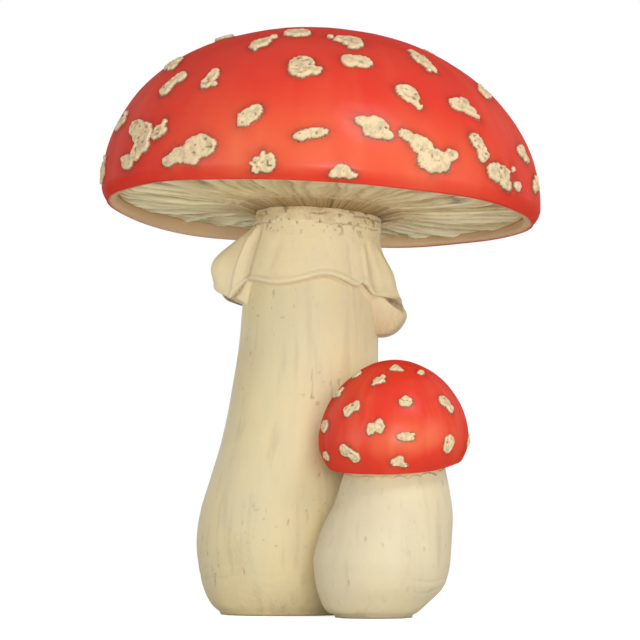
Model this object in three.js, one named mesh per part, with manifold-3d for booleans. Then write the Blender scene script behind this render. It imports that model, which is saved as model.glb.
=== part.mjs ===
// A pair of cast and painted toadstools, a large one with a small one nested against its foot.
// Millimetres, +Z up. The origin lies on the ground under the middle of the large cap.
// +X is to the viewer's right, and the viewer stands on the -Y side.
// A bearing turns from +X towards +Y, so 180 is left, 270 is front and 360 is right.
import * as THREE from "three";
import { mergeVertices } from "three/addons/utils/BufferGeometryUtils.js";
import Module from "manifold-3d";

const wasm = await Module();
wasm.setup();

const degrees = Math.PI / 180;

// Fits that the whole piece shares.
const seatGap = 0.3; // between two pieces that touch
const padThickness = 2; // felt pad, with the gap above it
const padMargin = 4; // from a foot's edge in to its pad's edge
const capSides = 40; // facets round a cap
const stemSides = 32; // facets round a stem or the skirt
const boreSides = 20;

// Large cap. Its own frame stands on the rim's plane, in the middle of the rim.
const largeCap = {
  x: 0,
  y: 0,
  rimHeight: 277, // middle of the rim above the ground
  pitch: 0,
  roll: 3.2 * degrees, // the right side hangs lower
  lean: -0.03, // sideways drift of the dome for each millimetre of its rise
  radius: 152.6, // widest ring
  rise: 116.6, // widest ring up to the apex
  fullness: 2.1, // the dome's outline is an ellipse at 2, boxier above and more pointed below
  drop: 9.4, // widest ring down to the rim
  rimTuck: 4, // how far the rim lies inside the widest ring
  wall: 8,
  lipWidth: 7,
  ledgeWidth: 6, // the seat that the gill disc is bonded to
  ledgeThickness: 4,
  recess: 7, // rim's edge up to the gill disc's edge
  patchHeight: 2.4, // raised patches on the dome
};

// Small cap, tipped towards the viewer. Its place beside the large stem is worked out below.
const smallCap = {
  rimHeight: 100.5,
  pitch: 11 * degrees,
  roll: -3.5 * degrees,
  lean: 0.03,
  radius: 49,
  rise: 51,
  fullness: 1.86,
  drop: 16.5,
  rimTuck: 5.5,
  wall: 6,
  lipWidth: 5,
  ledgeWidth: 4,
  ledgeThickness: 3,
  recess: 3,
  patchHeight: 1.4,
};

// Where the small toadstool nests: its direction from the large stem's middle, and the gap
// between its cap's widest ring and the large stem at that height.
const nest = { bearing: -52.7 * degrees, gap: 1.1 };

// Discs that close the caps from below.
const gillDisc = {
  edgeThickness: 4,
  neckLevel: 3, // underside by the neck, above the rim's plane
  hubRadius: 26,
  hubHeight: 7, // hub above the disc
  folds: 32,
  foldDepth: 1.5,
};
const veilDisc = {
  edgeThickness: 3,
  neckLevel: 2,
  hubRadius: 13,
  hubHeight: 20,
  folds: 20,
  foldDepth: 0.6,
};

// Stems. Along the outline, up is a share of the neck's height, lean of footLean and girth of
// bellyRadius. footLean is how far the foot stands to one side of the cap's middle.
const largeStem = {
  wall: 9,
  neckRadius: 39,
  neckDepth: 25, // solid neck that the spigot stands on
  bellyRadius: 61,
  footRadius: 43.5,
  footLean: -25,
  floorAboveNut: 12, // solid foot that the lower nut pulls on
  rings: 13,
  outline: [
    { up: 0.029, lean: 1, girth: 0.815 },
    { up: 0.075, lean: 0.98, girth: 0.918 },
    { up: 0.161, lean: 0.952, girth: 1 },
    { up: 0.25, lean: 0.856, girth: 0.995 },
    { up: 0.34, lean: 0.716, girth: 0.939 },
    { up: 0.429, lean: 0.552, girth: 0.882 },
    { up: 0.519, lean: 0.44, girth: 0.836 },
    { up: 0.65, lean: 0.316, girth: 0.787 },
    { up: 0.775, lean: 0.248, girth: 0.764 },
    { up: 0.893, lean: 0.12, girth: 0.705 },
  ],
};
const bellyInset = 4.1; // from the small cap's widest ring in to its stem's belly
const smallStem = {
  wall: 8,
  neckRadius: 31,
  neckDepth: 42,
  bellyRadius: smallCap.radius - bellyInset,
  footRadius: 25.5,
  footLean: -14.2,
  rings: 9,
  outline: [
    { up: 0.039, lean: 1.028, girth: 0.657 },
    { up: 0.088, lean: 0.951, girth: 0.762 },
    { up: 0.186, lean: 0.732, girth: 0.913 },
    { up: 0.294, lean: 0.634, girth: 0.98 },
    { up: 0.392, lean: 0.585, girth: 1 },
    { up: 0.559, lean: 0.394, girth: 0.958 },
    { up: 0.657, lean: 0.239, girth: 0.906 },
    { up: 0.755, lean: 0.113, girth: 0.833 },
  ],
};

// Torn skirt that hangs from the large neck. Along the hem, off is a share of hemReach, the
// widest that the hem stands off the stem, and drop is a share of length.
const skirt = {
  collarDrop: 0.8, // collar's top below the neck's top face
  length: 82.4, // collar down to the lowest part of the hem
  hemReach: 26,
  topThickness: 3.6,
  hemThickness: 2.2,
  flare: 1.7, // how late the cloth-like sheet swings out on its way down
  ruffles: 9,
  ruffleDepth: 2,
  ruffleReach: 10, // the hem's reach at which the ruffles are full
  rows: 5,
  hem: [
    { bearing: 0, off: 0.6, drop: 1 },
    { bearing: 30, off: 0.6, drop: 0.897 },
    { bearing: 60, off: 0.462, drop: 0.787 },
    { bearing: 90, off: 0.346, drop: 0.702 },
    { bearing: 120, off: 0.462, drop: 0.74 },
    { bearing: 150, off: 0.731, drop: 0.606 },
    { bearing: 180, off: 1, drop: 0.484 },
    { bearing: 210, off: 0.577, drop: 0.65 },
    { bearing: 240, off: 0.154, drop: 0.689 },
    { bearing: 270, off: 0.038, drop: 0.63 },
    { bearing: 300, off: 0.058, drop: 0.678 },
    { bearing: 330, off: 0.308, drop: 0.903 },
  ],
};

// Steel that holds the pieces together, hidden inside the castings.
const tieRod = { radius: 4, holeClearance: 0.3, endPastNut: 3 };
const spigot = { radius: 16, height: 6 };
const largeWasher = { radius: 11, thickness: 1.6 };
const largeNut = { acrossFlats: 13, thickness: 6.5 };
const nutRecess = { radius: 15, top: 26 }; // top is the height that the lower washer bears on
const largePlug = { radius: 22, thickness: 5 };
const smallPlug = { radius: 12, thickness: 11 };
const dowel = { radius: 5, intoStem: 26, intoCap: 20 };
const linkPin = { radius: 3, intoLarge: 7, intoSmall: 7, heights: [32, 52] };
const throughCut = 1; // how far a cutting bar runs past the face that it opens

const paint = {
  capRed: { color: 0xc8200f, roughness: 0.35, metalness: 0 },
  gillCream: { color: 0xc3b180, roughness: 0.7, metalness: 0 },
  stemCream: { color: 0xe0cfa0, roughness: 0.6, metalness: 0 },
  steel: { color: 0xa9acae, roughness: 0.4, metalness: 1 },
  plug: { color: 0xb9ad93, roughness: 0.8, metalness: 0 },
  felt: { color: 0xcfc6ae, roughness: 1, metalness: 0 },
};

// Raised patches. across runs round the cap and up runs towards its apex, both in millimetres.
// climb is 0 on the widest ring and 90 at the apex. turn is anticlockwise, seen from outside.
const largePatches = [
  { bearing: 193, climb: 4, across: 20, up: 24 },
  { bearing: 219, climb: 13, across: 27, up: 21, turn: 20 },
  { bearing: 212, climb: 4, across: 21, up: 14, turn: -20 },
  { bearing: 225, climb: 12, across: 13, up: 15 },
  { bearing: 238, climb: 4, across: 40, up: 15, turn: 14 },
  { bearing: 221, climb: 31, across: 24, up: 19 },
  { bearing: 237, climb: 31, across: 15, up: 23 },
  { bearing: 208, climb: 43, across: 20, up: 18 },
  { bearing: 214, climb: 58, across: 18, up: 16 },
  { bearing: 247, climb: 49, across: 22, up: 24 },
  { bearing: 255, climb: 63, across: 20, up: 20 },
  { bearing: 264, climb: 35, across: 23, up: 22 },
  { bearing: 279, climb: 50, across: 26, up: 20 },
  { bearing: 280, climb: 38, across: 20, up: 13 },
  { bearing: 252, climb: 15, across: 17, up: 16, turn: 20 },
  { bearing: 268, climb: 9, across: 22, up: 9, turn: 5 },
  { bearing: 256, climb: 1, across: 17, up: 13 },
  { bearing: 275, climb: -5, across: 18, up: 8 },
  { bearing: 283, climb: 14, across: 23, up: 16, turn: -30 },
  { bearing: 294, climb: 26, across: 23, up: 18, turn: -20 },
  { bearing: 307, climb: 45, across: 25, up: 18, turn: -15 },
  { bearing: 312, climb: 25, across: 25, up: 16, turn: -15 },
  { bearing: 292, climb: 10, across: 21, up: 10, turn: -35 },
  { bearing: 298, climb: 5, across: 29, up: 15, turn: -8 },
  { bearing: 332, climb: 38, across: 18, up: 16 },
  { bearing: 313, climb: 12, across: 20, up: 15, turn: -30 },
  { bearing: 322, climb: 3, across: 36, up: 16, turn: -10 },
  { bearing: 335, climb: 14, across: 18, up: 13 },
  { bearing: 346, climb: 6, across: 18, up: 12 },
  { bearing: 200, climb: 21, across: 15, up: 14 },
  { bearing: 318, climb: 58, across: 18, up: 15 },
];
const smallPatches = [
  { bearing: 259, climb: 66, across: 9, up: 9 },
  { bearing: 295, climb: 58, across: 6, up: 6 },
  { bearing: 238, climb: 53, across: 10, up: 10 },
  { bearing: 223, climb: 28, across: 13, up: 10 },
  { bearing: 274, climb: 34, across: 9, up: 8 },
  { bearing: 312, climb: 27, across: 12, up: 14 },
  { bearing: 250, climb: 15, across: 12, up: 10 },
  { bearing: 274, climb: 8, across: 11, up: 7 },
  { bearing: 311, climb: -2, across: 12, up: 10 },
  { bearing: 195, climb: 12, across: 10, up: 8 },
  { bearing: 230, climb: -5, across: 18, up: 10, turn: -20 },
  { bearing: 270, climb: -15, across: 11, up: 8 },
  { bearing: 203, climb: -10, across: 9, up: 7 },
  { bearing: 204, climb: 38, across: 10, up: 9 },
  { bearing: 206, climb: 58, across: 9, up: 8 },
  { bearing: 344, climb: -5, across: 9, up: 9 },
];

// The sides that face away carry the same kind of patches, in rows drawn by a seeded rule.
const hiddenPatches = {
  large: { seed: 11, from: 8, to: 176, climbs: [3, 19, 36, 54], spacing: 42, size: 21, spread: 7 },
  small: { seed: 5, from: 12, to: 176, climbs: [-8, 14, 40], spacing: 24, size: 10, spread: 3 },
};
const rowScatter = { start: 0.3, stagger: 0.2, along: 0.3, climb: 8, turn: 60, upShare: 0.85 };
const apexPatch = { bearing: 90, climb: 76, across: 22, up: 18 };

// Form of one patch: its corners, how uneven they are, and the shares of its size and place.
const patchForm = {
  corners: 6,
  leastReach: 0.84,
  reachSpread: 0.32,
  topShare: 0.8, // flat top against the outline
  rootShare: 1 / 3, // depth of the root in the cap's wall
  rimShare: 0.85, // lowest place that a patch may reach, as a share of the rim's angle
};

// Rolled lip, in shares of its width.
const lipForm = { turn: 0.3, dip: 0.08, innerEdge: 0.2 };

// Radial folds under a disc: where their depth is set, in shares of the way out to the lip.
const foldForm = { stations: [0.1, 0.4, 0.75], lead: 0.2, hubSlope: 2 };

// A repeatable stream of numbers from 0 to 1.
function seededNumbers(seed) {
  const modulus = 2147483647;
  const factor = 48271;
  let state = seed;
  return () => {
    state = (state * factor) % modulus;
    return state / modulus;
  };
}

// Joins rows of points, all of one length, into a closed skin whose faces point out.
// The skin ends in a single point at each end, or its last row meets its first one.
function closedSkin(rows, startPoint, endPoint) {
  const sides = rows[0].length;
  const corners = rows.flat();
  const faces = [];
  const joined = startPoint ? rows.length - 1 : rows.length;
  for (let row = 0; row < joined; row += 1) {
    const next = (row + 1) % rows.length;
    for (let side = 0; side < sides; side += 1) {
      const beside = (side + 1) % sides;
      const a = row * sides + side;
      const b = row * sides + beside;
      const c = next * sides + beside;
      const d = next * sides + side;
      faces.push(a, b, c, a, c, d);
    }
  }
  if (startPoint) {
    const start = corners.push(startPoint) - 1;
    const end = corners.push(endPoint) - 1;
    const last = (rows.length - 1) * sides;
    for (let side = 0; side < sides; side += 1) {
      const beside = (side + 1) % sides;
      faces.push(start, beside, side, end, last + side, last + beside);
    }
  }
  const geometry = new THREE.BufferGeometry().setFromPoints(corners);
  geometry.setIndex(faces);
  return signedVolume(corners, faces) < 0 ? turnedOut(geometry) : geometry;
}

function signedVolume(corners, faces) {
  let volume = 0;
  for (let i = 0; i < faces.length; i += 3) {
    const [a, b, c] = [corners[faces[i]], corners[faces[i + 1]], corners[faces[i + 2]]];
    volume += a.dot(b.clone().cross(c)) / 6;
  }
  return volume;
}

function turnedOut(geometry) {
  const index = geometry.index.array;
  for (let i = 0; i < index.length; i += 3) {
    [index[i + 1], index[i + 2]] = [index[i + 2], index[i + 1]];
  }
  return geometry;
}

// One row of points round an upright axis.
function ring(radius, height, sides = capSides) {
  const around = (side) => (side / sides) * 2 * Math.PI;
  return Array.from(
    { length: sides },
    (_, side) => new THREE.Vector3(radius * Math.cos(around(side)), radius * Math.sin(around(side)), height),
  );
}

// A round bar along Z, or a nut when it has six sides.
function bar(radius, bottom, top, sides = boreSides) {
  const geometry = new THREE.CylinderGeometry(radius, radius, top - bottom, sides);
  geometry.rotateX(Math.PI / 2);
  geometry.translate(0, 0, (bottom + top) / 2);
  return geometry;
}

function toSolid(geometry) {
  const bare = geometry.clone();
  bare.deleteAttribute("normal");
  bare.deleteAttribute("uv");
  const merged = mergeVertices(bare, 1e-3);
  return new wasm.Manifold(
    new wasm.Mesh({
      numProp: 3,
      vertProperties: new Float32Array(merged.attributes.position.array),
      triVerts: new Uint32Array(merged.index.array),
    }),
  );
}

function toGeometry(solid) {
  const mesh = solid.getMesh();
  const geometry = new THREE.BufferGeometry();
  geometry.setAttribute("position", new THREE.BufferAttribute(mesh.vertProperties, 3));
  geometry.setIndex(new THREE.BufferAttribute(mesh.triVerts, 1));
  return geometry;
}

function cutFrom(geometry, tools) {
  const cut = tools.reduce((left, tool) => left.subtract(toSolid(tool)), toSolid(geometry));
  return toGeometry(cut);
}

function joinedTo(geometry, extras) {
  const joined = extras.reduce((whole, extra) => whole.add(toSolid(extra)), toSolid(geometry));
  return toGeometry(joined);
}

// A cap's own frame, with the tilt that it and what fits it share.
function capFrame(cap) {
  const turn = new THREE.Euler(cap.pitch, cap.roll, 0, "YXZ");
  return new THREE.Matrix4().compose(
    new THREE.Vector3(cap.x, cap.y, cap.rimHeight),
    new THREE.Quaternion().setFromEuler(turn),
    new THREE.Vector3(1, 1, 1),
  );
}

function rimRadius(cap) {
  return cap.radius - cap.rimTuck;
}

function lipRadius(cap) {
  return rimRadius(cap) - cap.lipWidth;
}

// Half height of the ellipse that rounds the dome in from its widest ring to the rim.
function underDepth(cap) {
  return cap.drop / Math.sqrt(1 - (rimRadius(cap) / cap.radius) ** 2);
}

function rimClimb(cap) {
  return -Math.acos(rimRadius(cap) / cap.radius);
}

// Below its widest ring the dome is a plain ellipse.
function fullnessAt(cap, climb) {
  return climb < 0 ? 2 : cap.fullness;
}

// How far the outline runs past a unit circle in the direction of a climb.
function swellAt(cap, climb) {
  const power = fullnessAt(cap, climb);
  return (Math.cos(climb) ** power + Math.abs(Math.sin(climb)) ** power) ** (-1 / power);
}

// A point of the dome, or of the hollow under it when inset is the wall.
function domePoint(cap, bearing, climb, inset = 0) {
  const swell = swellAt(cap, climb);
  const reach = (cap.radius - inset) * swell * Math.cos(climb);
  const half = climb < 0 ? underDepth(cap) : cap.rise - inset;
  const height = cap.drop + half * swell * Math.sin(climb);
  const drift = cap.lean * Math.max(0, height - cap.drop);
  return new THREE.Vector3(reach * Math.cos(bearing) + drift, reach * Math.sin(bearing), height);
}

function domeRow(cap, climb, inset) {
  return Array.from({ length: capSides }, (_, side) =>
    domePoint(cap, (side / capSides) * 2 * Math.PI, climb, inset),
  );
}

// Heights in a cap's frame at which its disc meets the neck, the lip and the ledge.
function discLevels(cap, disc) {
  const edgeTop = cap.recess + disc.edgeThickness;
  return {
    neck: disc.neckLevel,
    edgeTop,
    ledge: edgeTop + seatGap,
    hubTop: edgeTop + disc.hubHeight,
    edgeRadius: lipRadius(cap) * Math.cos(Math.PI / capSides) - seatGap,
  };
}

// Outward direction and the two directions along the surface at a point of the dome.
function domeAxes(cap, bearing, climb) {
  const half = climb < 0 ? underDepth(cap) : cap.rise;
  const slopePower = fullnessAt(cap, climb) - 1;
  const sideways = Math.cos(climb) ** slopePower / cap.radius;
  const out = new THREE.Vector3(
    sideways * Math.cos(bearing),
    sideways * Math.sin(bearing),
    (Math.sign(climb) * Math.abs(Math.sin(climb)) ** slopePower) / half,
  ).normalize();
  const along = new THREE.Vector3(-Math.sin(bearing), Math.cos(bearing), 0);
  return { out, along, upward: out.clone().cross(along) };
}

// The dome point nearest to a point beside the surface, lifted off it.
function liftedOnDome(cap, point, lift) {
  const drift = cap.lean * Math.max(0, point.z - cap.drop);
  const half = point.z < cap.drop ? underDepth(cap) : cap.rise;
  const x = (point.x - drift) / cap.radius;
  const y = point.y / cap.radius;
  const z = (point.z - cap.drop) / half;
  const bearing = Math.atan2(y, x);
  const lowest = rimClimb(cap) * patchForm.rimShare;
  const climb = Math.max(Math.atan2(z, Math.hypot(x, y)), lowest);
  return domePoint(cap, bearing, climb).addScaledVector(domeAxes(cap, bearing, climb).out, lift);
}

// An uneven low mound that stands on the dome and is rooted in its wall.
function patch(cap, { bearing, climb, across, up, turn = 0 }, random) {
  const { corners, leastReach, reachSpread, topShare, rootShare } = patchForm;
  const [bearingTurn, climbTurn] = [bearing * degrees, climb * degrees];
  const middle = domePoint(cap, bearingTurn, climbTurn);
  const { along, upward } = domeAxes(cap, bearingTurn, climbTurn);
  const unevenness = Array.from({ length: corners }, () => leastReach + reachSpread * random());
  const outline = (spread, lift) =>
    unevenness.map((uneven, corner) => {
      const angle = (corner / corners) * 2 * Math.PI;
      const u = (across / 2) * Math.cos(angle) * uneven * spread;
      const v = (up / 2) * Math.sin(angle) * uneven * spread;
      const c = Math.cos(turn * degrees);
      const s = Math.sin(turn * degrees);
      const point = middle.clone();
      point.addScaledVector(along, u * c - v * s);
      point.addScaledVector(upward, u * s + v * c);
      return liftedOnDome(cap, point, lift);
    });
  const root = -cap.wall * rootShare;
  const height = cap.patchHeight;
  const rows = [outline(1, root), outline(topShare, height)];
  return closedSkin(rows, liftedOnDome(cap, middle, root), liftedOnDome(cap, middle, height));
}

function hiddenPatchList({ seed, from, to, climbs, spacing, size, spread }, cap) {
  const random = seededNumbers(seed);
  const { start, stagger, along, climb: climbScatter, turn, upShare } = rowScatter;
  return climbs.flatMap((climb, level) => {
    const girth = (to - from) * degrees * cap.radius * Math.cos(climb * degrees);
    const count = Math.max(2, Math.round(girth / spacing));
    const step = (to - from) / count;
    return Array.from({ length: count }, (_, place) => ({
      bearing: from + step * (place + start + stagger * (level % 2) + along * random()),
      climb: climb + climbScatter * (random() - 0.5),
      across: size + spread * (random() - start),
      up: (size + spread * (random() - 0.5)) * upShare,
      turn: turn * (random() - 0.5),
    }));
  });
}

// A hollow dome with a rolled lip, a ledge inside it and patches outside.
function capGeometry(cap, disc, patches, seed) {
  const { ledge } = discLevels(cap, disc);
  const lip = lipRadius(cap);
  const ledgeRadius = lip - cap.ledgeWidth;
  const ledgeTop = ledge + cap.ledgeThickness;
  const outerSteps = 9;
  const innerSteps = 4;
  const rows = [];
  for (let step = 1; step <= outerSteps; step += 1) {
    rows.push(domeRow(cap, (90 - (90 * step) / outerSteps) * degrees, 0));
  }
  rows.push(domeRow(cap, rimClimb(cap) / 2, 0));
  rows.push(domeRow(cap, rimClimb(cap), 0));
  rows.push(ring(lip + cap.lipWidth * lipForm.turn, -cap.lipWidth * lipForm.dip));
  rows.push(ring(lip, cap.lipWidth * lipForm.innerEdge));
  rows.push(ring(lip, ledge));
  rows.push(ring(ledgeRadius, ledge));
  rows.push(ring(ledgeRadius, ledgeTop));
  const ledgeShare = Math.max(0, ledgeTop - cap.drop) / (cap.rise - cap.wall);
  const reachShare = (1 - ledgeShare ** cap.fullness) ** (1 / cap.fullness);
  const innerStart = Math.atan2(ledgeShare, reachShare);
  for (let step = 0; step < innerSteps; step += 1) {
    const climb = innerStart + ((Math.PI / 2 - innerStart) * step) / innerSteps;
    rows.push(domeRow(cap, climb, cap.wall));
  }
  const apex = domePoint(cap, 0, Math.PI / 2);
  const innerApex = domePoint(cap, 0, Math.PI / 2, cap.wall);
  const random = seededNumbers(seed);
  const mounds = patches.map((place) => patch(cap, place, random));
  return joinedTo(closedSkin(rows, apex, innerApex), mounds);
}

// A disc with radial folds below, a flat ring for the neck, and a hub above.
function discGeometry(cap, disc, stem, cuts) {
  const levels = discLevels(cap, disc);
  const sides = disc.folds * 2;
  const folded = (share) => {
    const start = stem.neckRadius + cap.ledgeWidth;
    const radius = start + (levels.edgeRadius - start) * share;
    const level = levels.neck + (cap.recess - levels.neck) * share;
    const depth = disc.foldDepth * Math.sqrt(Math.sin(Math.PI * (share + foldForm.lead)));
    return ring(radius, level, sides).map((point, side) => point.setZ(level + (side % 2 ? depth : 0)));
  };
  const rows = [
    ring(stem.neckRadius + cap.ledgeWidth / 2, levels.neck, sides),
    ...foldForm.stations.map(folded),
    ring(levels.edgeRadius, cap.recess, sides),
    ring(levels.edgeRadius, levels.edgeTop, sides),
    ring(disc.hubRadius + foldForm.hubSlope, levels.edgeTop, sides),
    ring(disc.hubRadius, levels.hubTop, sides),
  ];
  const start = new THREE.Vector3(0, 0, levels.neck);
  const end = new THREE.Vector3(0, 0, levels.hubTop);
  return cutFrom(closedSkin(rows, start, end), cuts);
}

// The stem's middle line and radius from the pad up to the neck, as a smooth curve.
function stemCurve(cap, disc, stem) {
  const neck = new THREE.Vector3(0, 0, disc.neckLevel - seatGap).applyMatrix4(capFrame(cap));
  const station = (height, lean, radius) => new THREE.Vector3(cap.x + lean, radius, height);
  const points = [
    station(padThickness, stem.footLean, stem.footRadius),
    ...stem.outline.map(({ up, lean, girth }) =>
      station(up * neck.z, lean * stem.footLean, girth * stem.bellyRadius),
    ),
    station(neck.z, neck.x - cap.x, stem.neckRadius),
  ];
  return new THREE.CatmullRomCurve3(points, false, "centripetal").getPoints(stem.rings);
}

// Middle and radius of the stem at one height.
function stemAt(curve, height) {
  const above = Math.max(1, curve.findIndex((point) => point.z >= height));
  const [low, high] = [curve[above - 1], curve[above]];
  return low.clone().lerp(high, (height - low.z) / (high.z - low.z));
}

// A round stem whose rings tilt little by little until they match the cap.
// grow swells it, to leave a gap for a neighbour, or shrinks it to the hollow.
function stemGeometry(cap, stem, curve, grow, bottom, top) {
  const tilt = new THREE.Quaternion().setFromRotationMatrix(capFrame(cap));
  const whole = curve.at(-1).z;
  const inside = curve.filter(({ z }) => z > bottom + 1 && z < top - 1);
  const stations = [stemAt(curve, bottom), ...inside, stemAt(curve, top)];
  const middle = ({ x, z }) => new THREE.Vector3(x, neckY(cap, curve, z), z);
  const rows = stations.map((station) => {
    const share = new THREE.Quaternion().slerp(tilt, (station.z / whole) ** 2);
    const flat = ring(station.y + grow, 0, stemSides);
    return flat.map((point) => point.applyQuaternion(share).add(middle(station)));
  });
  return closedSkin(rows, middle(stations[0]), middle(stations.at(-1)));
}

// The middle line also drifts along Y when the cap is tipped forward.
function neckY(cap, curve, height) {
  const neck = new THREE.Vector3(0, 0, curve.at(-1).z - cap.rimHeight).applyMatrix4(capFrame(cap));
  return cap.y + (neck.y - cap.y) * (height / curve.at(-1).z) ** 2;
}

// Hem values between the listed bearings, on a smooth closed curve.
function hemAt(bearing) {
  const points = skirt.hem.map(({ off, drop }) => new THREE.Vector3(off, drop, 0));
  const hem = new THREE.CatmullRomCurve3(points, true, "catmullrom", 0.5).getPoint(bearing / (2 * Math.PI));
  return { reach: hem.x * skirt.hemReach, drop: hem.y * skirt.length };
}

// The hanging sheet, outside from the collar down to the hem and back up inside.
function skirtGeometry(curve) {
  const collarTop = curve.at(-1).z - skirt.collarDrop;
  const sheetPoint = (side, share, thickness) => {
    const bearing = (side / stemSides) * 2 * Math.PI;
    const hem = hemAt(bearing);
    const tilted = collarTop - Math.sin(largeCap.roll) * largeStem.neckRadius * Math.cos(bearing);
    const height = tilted + (collarTop - hem.drop - tilted) * share;
    const stem = stemAt(curve, Math.min(height, curve.at(-1).z));
    const fullness = Math.min(1, hem.reach / skirt.ruffleReach);
    const ruffle = skirt.ruffleDepth * fullness * Math.cos(skirt.ruffles * bearing);
    const off = Math.max(0, hem.reach * share ** skirt.flare + ruffle * share ** 2);
    const radius = stem.y + 2 * seatGap + off + thickness;
    return new THREE.Vector3(stem.x + radius * Math.cos(bearing), radius * Math.sin(bearing), height);
  };
  const row = (share, thickness) =>
    Array.from({ length: stemSides }, (_, side) => sheetPoint(side, share, thickness));
  const shares = Array.from({ length: skirt.rows }, (_, step) => step / (skirt.rows - 1));
  const thicknessAt = (share) => skirt.topThickness + (skirt.hemThickness - skirt.topThickness) * share;
  const outside = shares.map((share) => row(share, thicknessAt(share)));
  const inside = shares.map((share) => row(share, 0)).reverse();
  return closedSkin([...outside, ...inside]);
}

const steel = new THREE.MeshStandardMaterial(paint.steel);

function namedMesh(name, geometry, material) {
  const mesh = new THREE.Mesh(geometry, material);
  mesh.name = name;
  return mesh;
}

// What is turned to stand on a cap's frame is cut into a stem in the ground's frame.
function inGround(geometry, cap) {
  return geometry.clone().applyMatrix4(capFrame(cap));
}

const largeCurve = stemCurve(largeCap, gillDisc, largeStem);

// The small toadstool stands clear of the large stem at the height of its cap's widest ring.
function placeInNest() {
  const beside = stemAt(largeCurve, smallCap.rimHeight + smallCap.drop);
  const distance = beside.y + nest.gap + smallCap.radius;
  smallCap.x = beside.x + distance * Math.cos(nest.bearing);
  smallCap.y = largeCap.y + distance * Math.sin(nest.bearing);
}
placeInNest();
const smallCurve = stemCurve(smallCap, veilDisc, smallStem);
const toadstools = new THREE.Group();

// Large cap, its gill disc, and the steel that clamps them down on the stem.
const largeLevels = discLevels(largeCap, gillDisc);
const rodHole = tieRod.radius + tieRod.holeClearance;
const rodFoot = nutRecess.top - largeCap.rimHeight;
const socketTop = largeLevels.neck + spigot.height;
const rodTop =
  largeLevels.hubTop + 3 * seatGap + largeWasher.thickness + largeNut.thickness + tieRod.endPastNut;
const rodBottom =
  rodFoot - 3 * seatGap - largeWasher.thickness - largeNut.thickness - tieRod.endPastNut;
const nutRadius = largeNut.acrossFlats / 2 / Math.cos(Math.PI / 6);

const largeHead = new THREE.Group();
largeHead.applyMatrix4(capFrame(largeCap));
toadstools.add(largeHead);

const capRed = new THREE.MeshStandardMaterial(paint.capRed);
const gillCream = new THREE.MeshStandardMaterial(paint.gillCream);
const stemCream = new THREE.MeshStandardMaterial(paint.stemCream);
const plugGrey = new THREE.MeshStandardMaterial(paint.plug);
const felt = new THREE.MeshStandardMaterial(paint.felt);

const allLargePatches = [...largePatches, ...hiddenPatchList(hiddenPatches.large, largeCap), apexPatch];
largeHead.add(namedMesh("large_cap", capGeometry(largeCap, gillDisc, allLargePatches, 3), capRed));

const discCuts = [
  bar(rodHole, largeLevels.neck - throughCut, largeLevels.hubTop + throughCut),
  bar(spigot.radius + seatGap, largeLevels.neck - throughCut, socketTop),
];
const gillGeometry = discGeometry(largeCap, gillDisc, largeStem, discCuts);
largeHead.add(namedMesh("large_gill_disc", gillGeometry, gillCream));
largeHead.add(namedMesh("large_tie_rod", bar(tieRod.radius, rodBottom, rodTop), steel));

// A washer and a nut, stacked from the face that they bear on.
function clampOn(face, direction, washerName, nutName) {
  const stack = [face + direction * seatGap];
  stack.push(stack[0] + direction * largeWasher.thickness);
  stack.push(stack[1] + direction * seatGap);
  stack.push(stack[2] + direction * largeNut.thickness);
  const washer = bar(largeWasher.radius, Math.min(stack[0], stack[1]), Math.max(stack[0], stack[1]));
  const nut = bar(nutRadius, Math.min(stack[2], stack[3]), Math.max(stack[2], stack[3]), 6);
  const hole = bar(rodHole, Math.min(...stack) - throughCut, Math.max(...stack) + throughCut);
  largeHead.add(namedMesh(washerName, cutFrom(washer, [hole]), steel));
  largeHead.add(namedMesh(nutName, cutFrom(nut, [hole]), steel));
}
clampOn(largeLevels.hubTop, 1, "large_upper_washer", "large_upper_nut");
clampOn(rodFoot, -1, "large_lower_washer", "large_lower_nut");

// Pins across the scribed joint between the two stems, square to the line between their middles.
function linkFrame(height) {
  const from = stemAt(largeCurve, height);
  const to = stemAt(smallCurve, height);
  const across = new THREE.Vector3(to.x - from.x, smallCap.y - largeCap.y, 0).normalize();
  const onSurface = new THREE.Vector3(from.x, largeCap.y, height).addScaledVector(across, from.y);
  const turn = new THREE.Quaternion().setFromUnitVectors(new THREE.Vector3(0, 0, 1), across);
  return new THREE.Matrix4().compose(onSurface, turn, new THREE.Vector3(1, 1, 1));
}
const linkNames = ["stem_link_pin_lower", "stem_link_pin_upper"];
const linkHoles = linkPin.heights.map((height) => {
  const hole = bar(linkPin.radius + seatGap, -linkPin.intoLarge - seatGap, largeStem.wall + smallStem.wall);
  return hole.applyMatrix4(linkFrame(height));
});
linkPin.heights.forEach((height, place) => {
  const pin = bar(linkPin.radius, -linkPin.intoLarge, linkPin.intoSmall);
  toadstools.add(namedMesh(linkNames[place], pin.applyMatrix4(linkFrame(height)), steel));
});

// Large stem, hollow between its solid foot and its solid neck, with the bores for the steel.
const stemTop = largeCurve.at(-1).z;
const largeOuter = stemGeometry(largeCap, largeStem, largeCurve, 0, padThickness, stemTop);
const largeHollow = stemGeometry(
  largeCap,
  largeStem,
  largeCurve,
  -largeStem.wall,
  nutRecess.top + largeStem.floorAboveNut,
  stemTop - largeStem.neckDepth,
);
const largeSpigot = inGround(
  bar(spigot.radius, largeLevels.neck - spigot.height, socketTop - seatGap),
  largeCap,
);
const recessBore = inGround(bar(nutRecess.radius, rodBottom - largePlug.radius, rodFoot), largeCap);
const rodBore = inGround(bar(rodHole, rodBottom, rodTop), largeCap);
const rodAtFoot = new THREE.Vector3(0, 0, rodBottom).applyMatrix4(capFrame(largeCap));
const plugBottom = padThickness + seatGap;
const plugHoleTop = plugBottom + largePlug.thickness + seatGap;
const plugHole = bar(largePlug.radius + seatGap, -throughCut, plugHoleTop);
plugHole.translate(rodAtFoot.x, rodAtFoot.y, 0);
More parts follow.
